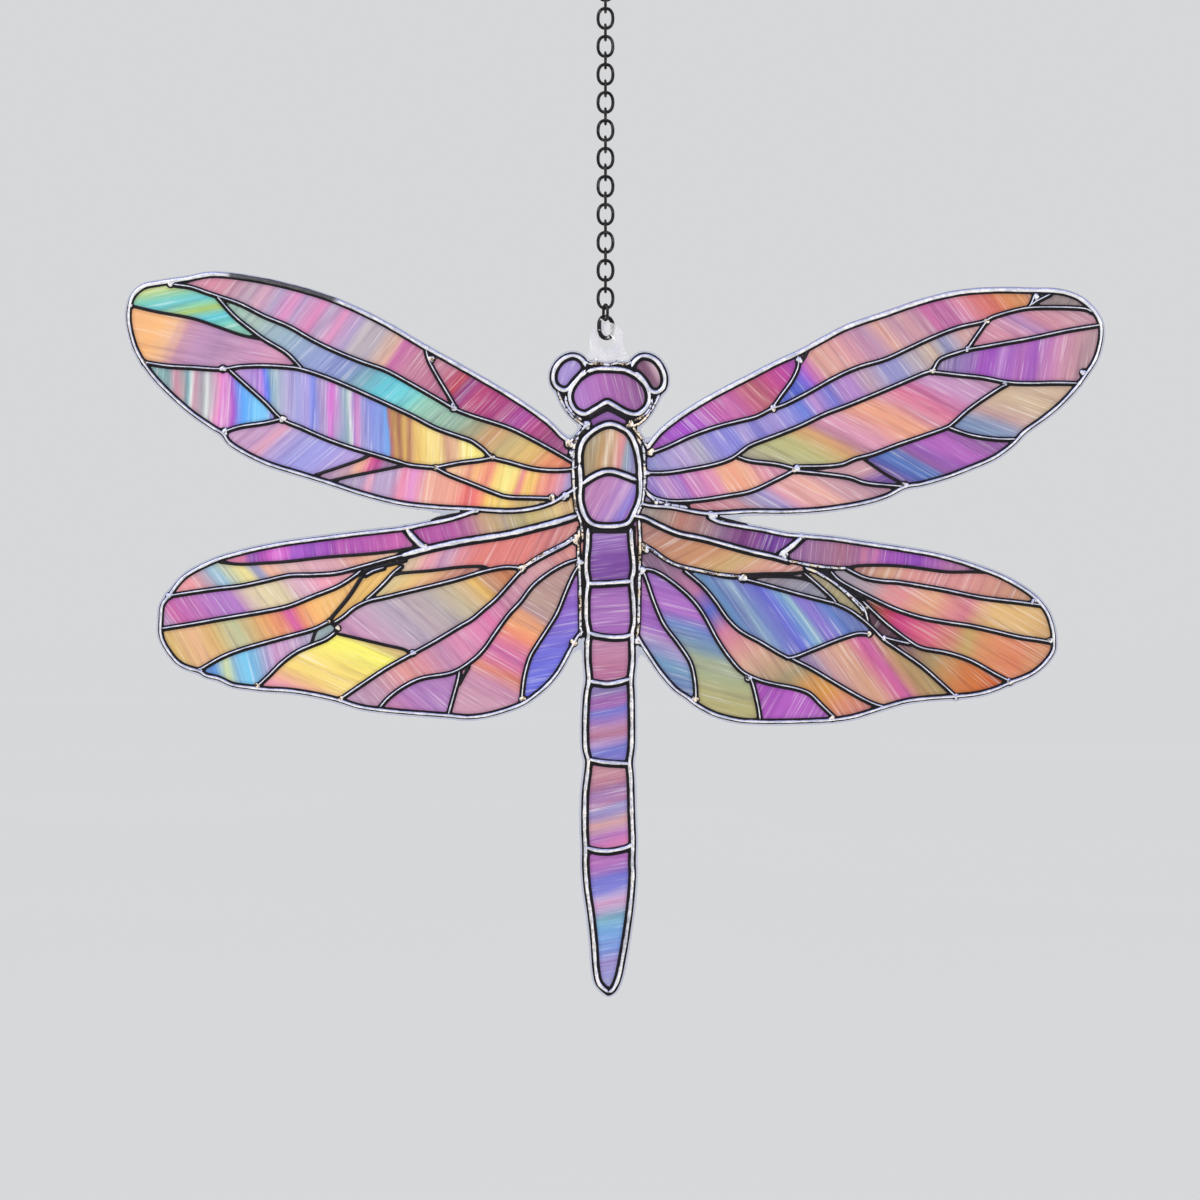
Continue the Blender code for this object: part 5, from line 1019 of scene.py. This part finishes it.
def dome(x, y, radius, seed):
    """A low round blob: rings shrink to the top as a quarter circle, with a wavy outline."""
    turn = np.linspace(0.0, 2 * math.pi, 20, endpoint=False)
    wave = 0.74 + 0.14 * np.sin(2 * turn + seed) + 0.11 * np.sin(3 * turn + 2.1 * seed)
    climb = np.radians([0.0, 20.0, 42.0, 64.0, 82.0])
    reach = radius * np.cos(climb)[:, None] * wave
    px = x + reach * np.cos(turn)
    py = y + reach * np.sin(turn)
    lift = (0.16 + 0.12 * radius) * np.sin(climb)[:, None] + np.zeros_like(turn) - BEAD_SINK
    points = to_frame(np.column_stack([px.ravel(), py.ravel()]), (SHEET_FRONT - PRINT_DEPTH - lift).ravel())
    first, last = list(range(len(turn))), list(range(len(points) - len(turn), len(points)))
    faces = wrapped_faces(len(climb), len(turn)).tolist() + [last, first[::-1]]
    # Painted shade: darker towards the dome's base
    painted_shade_amount = np.repeat(np.cos(climb), len(turn)) * 0.9
    return points, faces, painted_shade_amount


blobs = [dome(x, y, radius, number * 1.7) for number, (x, y, radius) in enumerate(BLOBS)]
points, faces, painted_shade_amount = joined(blobs)
solder_blobs = mesh_piece("solder_blobs", points, faces)
point_attribute(solder_blobs, "painted_shade_amount", "FLOAT", painted_shade_amount)
solder_blobs.data.materials.append(tarnished_solder)
lead_pieces.append(solder_blobs)

for piece in [stained_print, clear_sheet, clear_tab] + lead_pieces:
    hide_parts("acrylic_panel")
    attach(piece, "root")


# The chain: blackened steel wire. A round ring goes through the tab, oval links seen from their face are
# joined by small ones seen from their edge, and a larger ring ends the chain.
LINK_WIRE = 0.60
OVAL_WIDTH = 3.67
CONNECTOR_WIDTH = 2.6
TAB_RING_WIDTH = 5.3
TAB_RING_WIRE = 0.9
TAB_RING_TURN = 50.0
HANG_RING_WIDTH = 12.0
HANG_RING_WIRE = 1.0
ROUNDNESS = 2.3
OVAL_WIDER = 0.06
OVAL_THICKER = 0.08
FIRST_CONNECTOR_TURN = 115.0
CONNECTOR_TURN = 90.0
blackened_steel, n, shader = new_material("blackened_steel", Specular_IOR_Level=0.2)
place = n.add("ShaderNodeTexCoord").outputs["Object"]
wear_and_glint_noise = n.noise(place, 900.0, 4.0, 0.6)
# Pale patches where the black finish is worn to bare metal, which also serve as painted glints on the dark
# wire.
wear_and_glint_patches = n.maths("MULTIPLY", n.ramp(wear_and_glint_noise, 0.54, 0.62), n.attribute("wear_and_glint").outputs["Fac"])
colour = n.mix(wear_and_glint_patches, (0.006, 0.005, 0.005, 1.0), (0.85, 0.83, 0.84, 1.0))
n.join(colour, shader.inputs["Base Color"])
n.join(n.ramp(wear_and_glint_noise, -0.4, 1.8), shader.inputs["Roughness"])


def link(node, width, wire, turn_degrees, wear_and_glint=0.05, steps=64, sides=16):
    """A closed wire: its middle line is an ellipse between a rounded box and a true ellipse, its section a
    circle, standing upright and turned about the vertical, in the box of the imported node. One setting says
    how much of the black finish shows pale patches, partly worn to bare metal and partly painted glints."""
    low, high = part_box(node)
    middle = (np.array(low) + np.array(high)) / 2
    half_long = (high.z - low.z) / 2 - wire * MM / 2
    half_wide = (width - wire) / 2 * MM
    phi = np.linspace(0.0, 2 * math.pi, steps, endpoint=False)[:, None]
    psi = np.linspace(0.0, 2 * math.pi, sides, endpoint=False)[None, :]
    squareness = np.abs(np.cos(phi)) ** ROUNDNESS + np.abs(np.sin(phi)) ** ROUNDNESS
    bulge = 1.0 / squareness ** (1 / ROUNDNESS)
    cx, cz = half_wide * bulge * np.cos(phi), half_long * bulge * np.sin(phi)
    tx, tz = np.gradient(cx[:, 0]), np.gradient(cz[:, 0])
    tx[0], tz[0] = cx[1, 0] - cx[-1, 0], cz[1, 0] - cz[-1, 0]
    tx[-1], tz[-1] = cx[0, 0] - cx[-2, 0], cz[0, 0] - cz[-2, 0]
    length = np.hypot(tx, tz)[:, None]
    nx, nz = tz[:, None] / length, -tx[:, None] / length
    out = wire * MM / 2 * np.cos(psi)
    off = wire * MM / 2 * np.sin(psi) + np.zeros_like(phi)
    x, z = cx + nx * out, cz + nz * out
    angle = math.radians(turn_degrees)
    points = np.stack([middle[0] + x * math.cos(angle) - off * math.sin(angle),
                       middle[1] + x * math.sin(angle) + off * math.cos(angle),
                       middle[2] + z], axis=-1).reshape(-1, 3)
    piece = mesh_piece(node + "_wire", points, wrapped_faces(steps, sides, closed=True))
    point_attribute(piece, "wear_and_glint", "FLOAT", np.full(len(points), wear_and_glint))
    piece.data.materials.append(blackened_steel)
    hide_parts(node)
    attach(piece, "root")


for node in sorted(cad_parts):
    if node.startswith("chain_oval"):
        link(node, OVAL_WIDTH + OVAL_WIDER, LINK_WIRE + OVAL_THICKER, 0.0)
    elif node.startswith("chain_connector"):
        turn = FIRST_CONNECTOR_TURN if node.endswith("_01") else CONNECTOR_TURN
        link(node, CONNECTOR_WIDTH, LINK_WIRE, turn)
link("tab_ring", TAB_RING_WIDTH, TAB_RING_WIRE, TAB_RING_TURN, wear_and_glint=0.8)
link("hang_ring", HANG_RING_WIDTH, HANG_RING_WIRE, 0.0, steps=96)


# The stage: a pale floor well below the tail, pale air, and soft lights in front, beside and behind.
FLOOR_DROP = 0.9
FLOOR_REACH = 60.0
panel_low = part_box("acrylic_panel")[0]
floor = mesh_piece("floor", [(x * FLOOR_REACH, y * FLOOR_REACH, panel_low.z - FLOOR_DROP)
                             for x, y in ((-1, -1), (1, -1), (1, 1), (-1, 1))], [(0, 1, 2, 3)])
floor_paint, n, shader = new_material("floor_paint", Roughness=1.0, Specular_IOR_Level=0.0)
place = n.add("ShaderNodeTexCoord").outputs["Object"]
n.join(n.mix(n.noise(place, 0.3), (0.90, 0.90, 0.90, 1.0), (0.92, 0.92, 0.92, 1.0)),
       shader.inputs["Base Color"])
n.join(n.mix(n.noise(place, 0.3), (0.055, 0.058, 0.062, 1.0), (0.06, 0.062, 0.066, 1.0)),
       shader.inputs["Emission Color"])
shader.inputs["Emission Strength"].default_value = 1.0
floor.data.materials.append(floor_paint)
world = bpy.data.worlds.new("pale_air")
world.use_nodes = True
world.node_tree.nodes["Background"].inputs["Color"].default_value = (0.90, 0.91, 0.93, 1.0)
world.node_tree.nodes["Background"].inputs["Strength"].default_value = 0.75
bpy.context.scene.world = world


def soft_light(name, place, size, power):
    """A square area light that faces the middle of the panel."""
    data = bpy.data.lights.new(name, "AREA")
    data.size = size
    data.energy = power
    light = bpy.data.objects.new(name, data)
    light.location = place
    target = np.array([0.0, 0.0, hole_height - 0.05])
    aim = target - np.array(place)
    flat_length = math.hypot(aim[0], aim[1])
    light.rotation_euler = (math.atan2(flat_length, -aim[2]), 0.0, math.atan2(aim[1], aim[0]) - math.pi / 2)
    bpy.context.scene.collection.objects.link(light)


soft_light("key", (-0.7, -0.9, 0.6), 0.7, 9.0)
soft_light("fill", (0.9, -0.8, 0.0), 0.8, 4.0)
soft_light("back", (0.5, 1.0, 0.5), 0.7, 7.0)
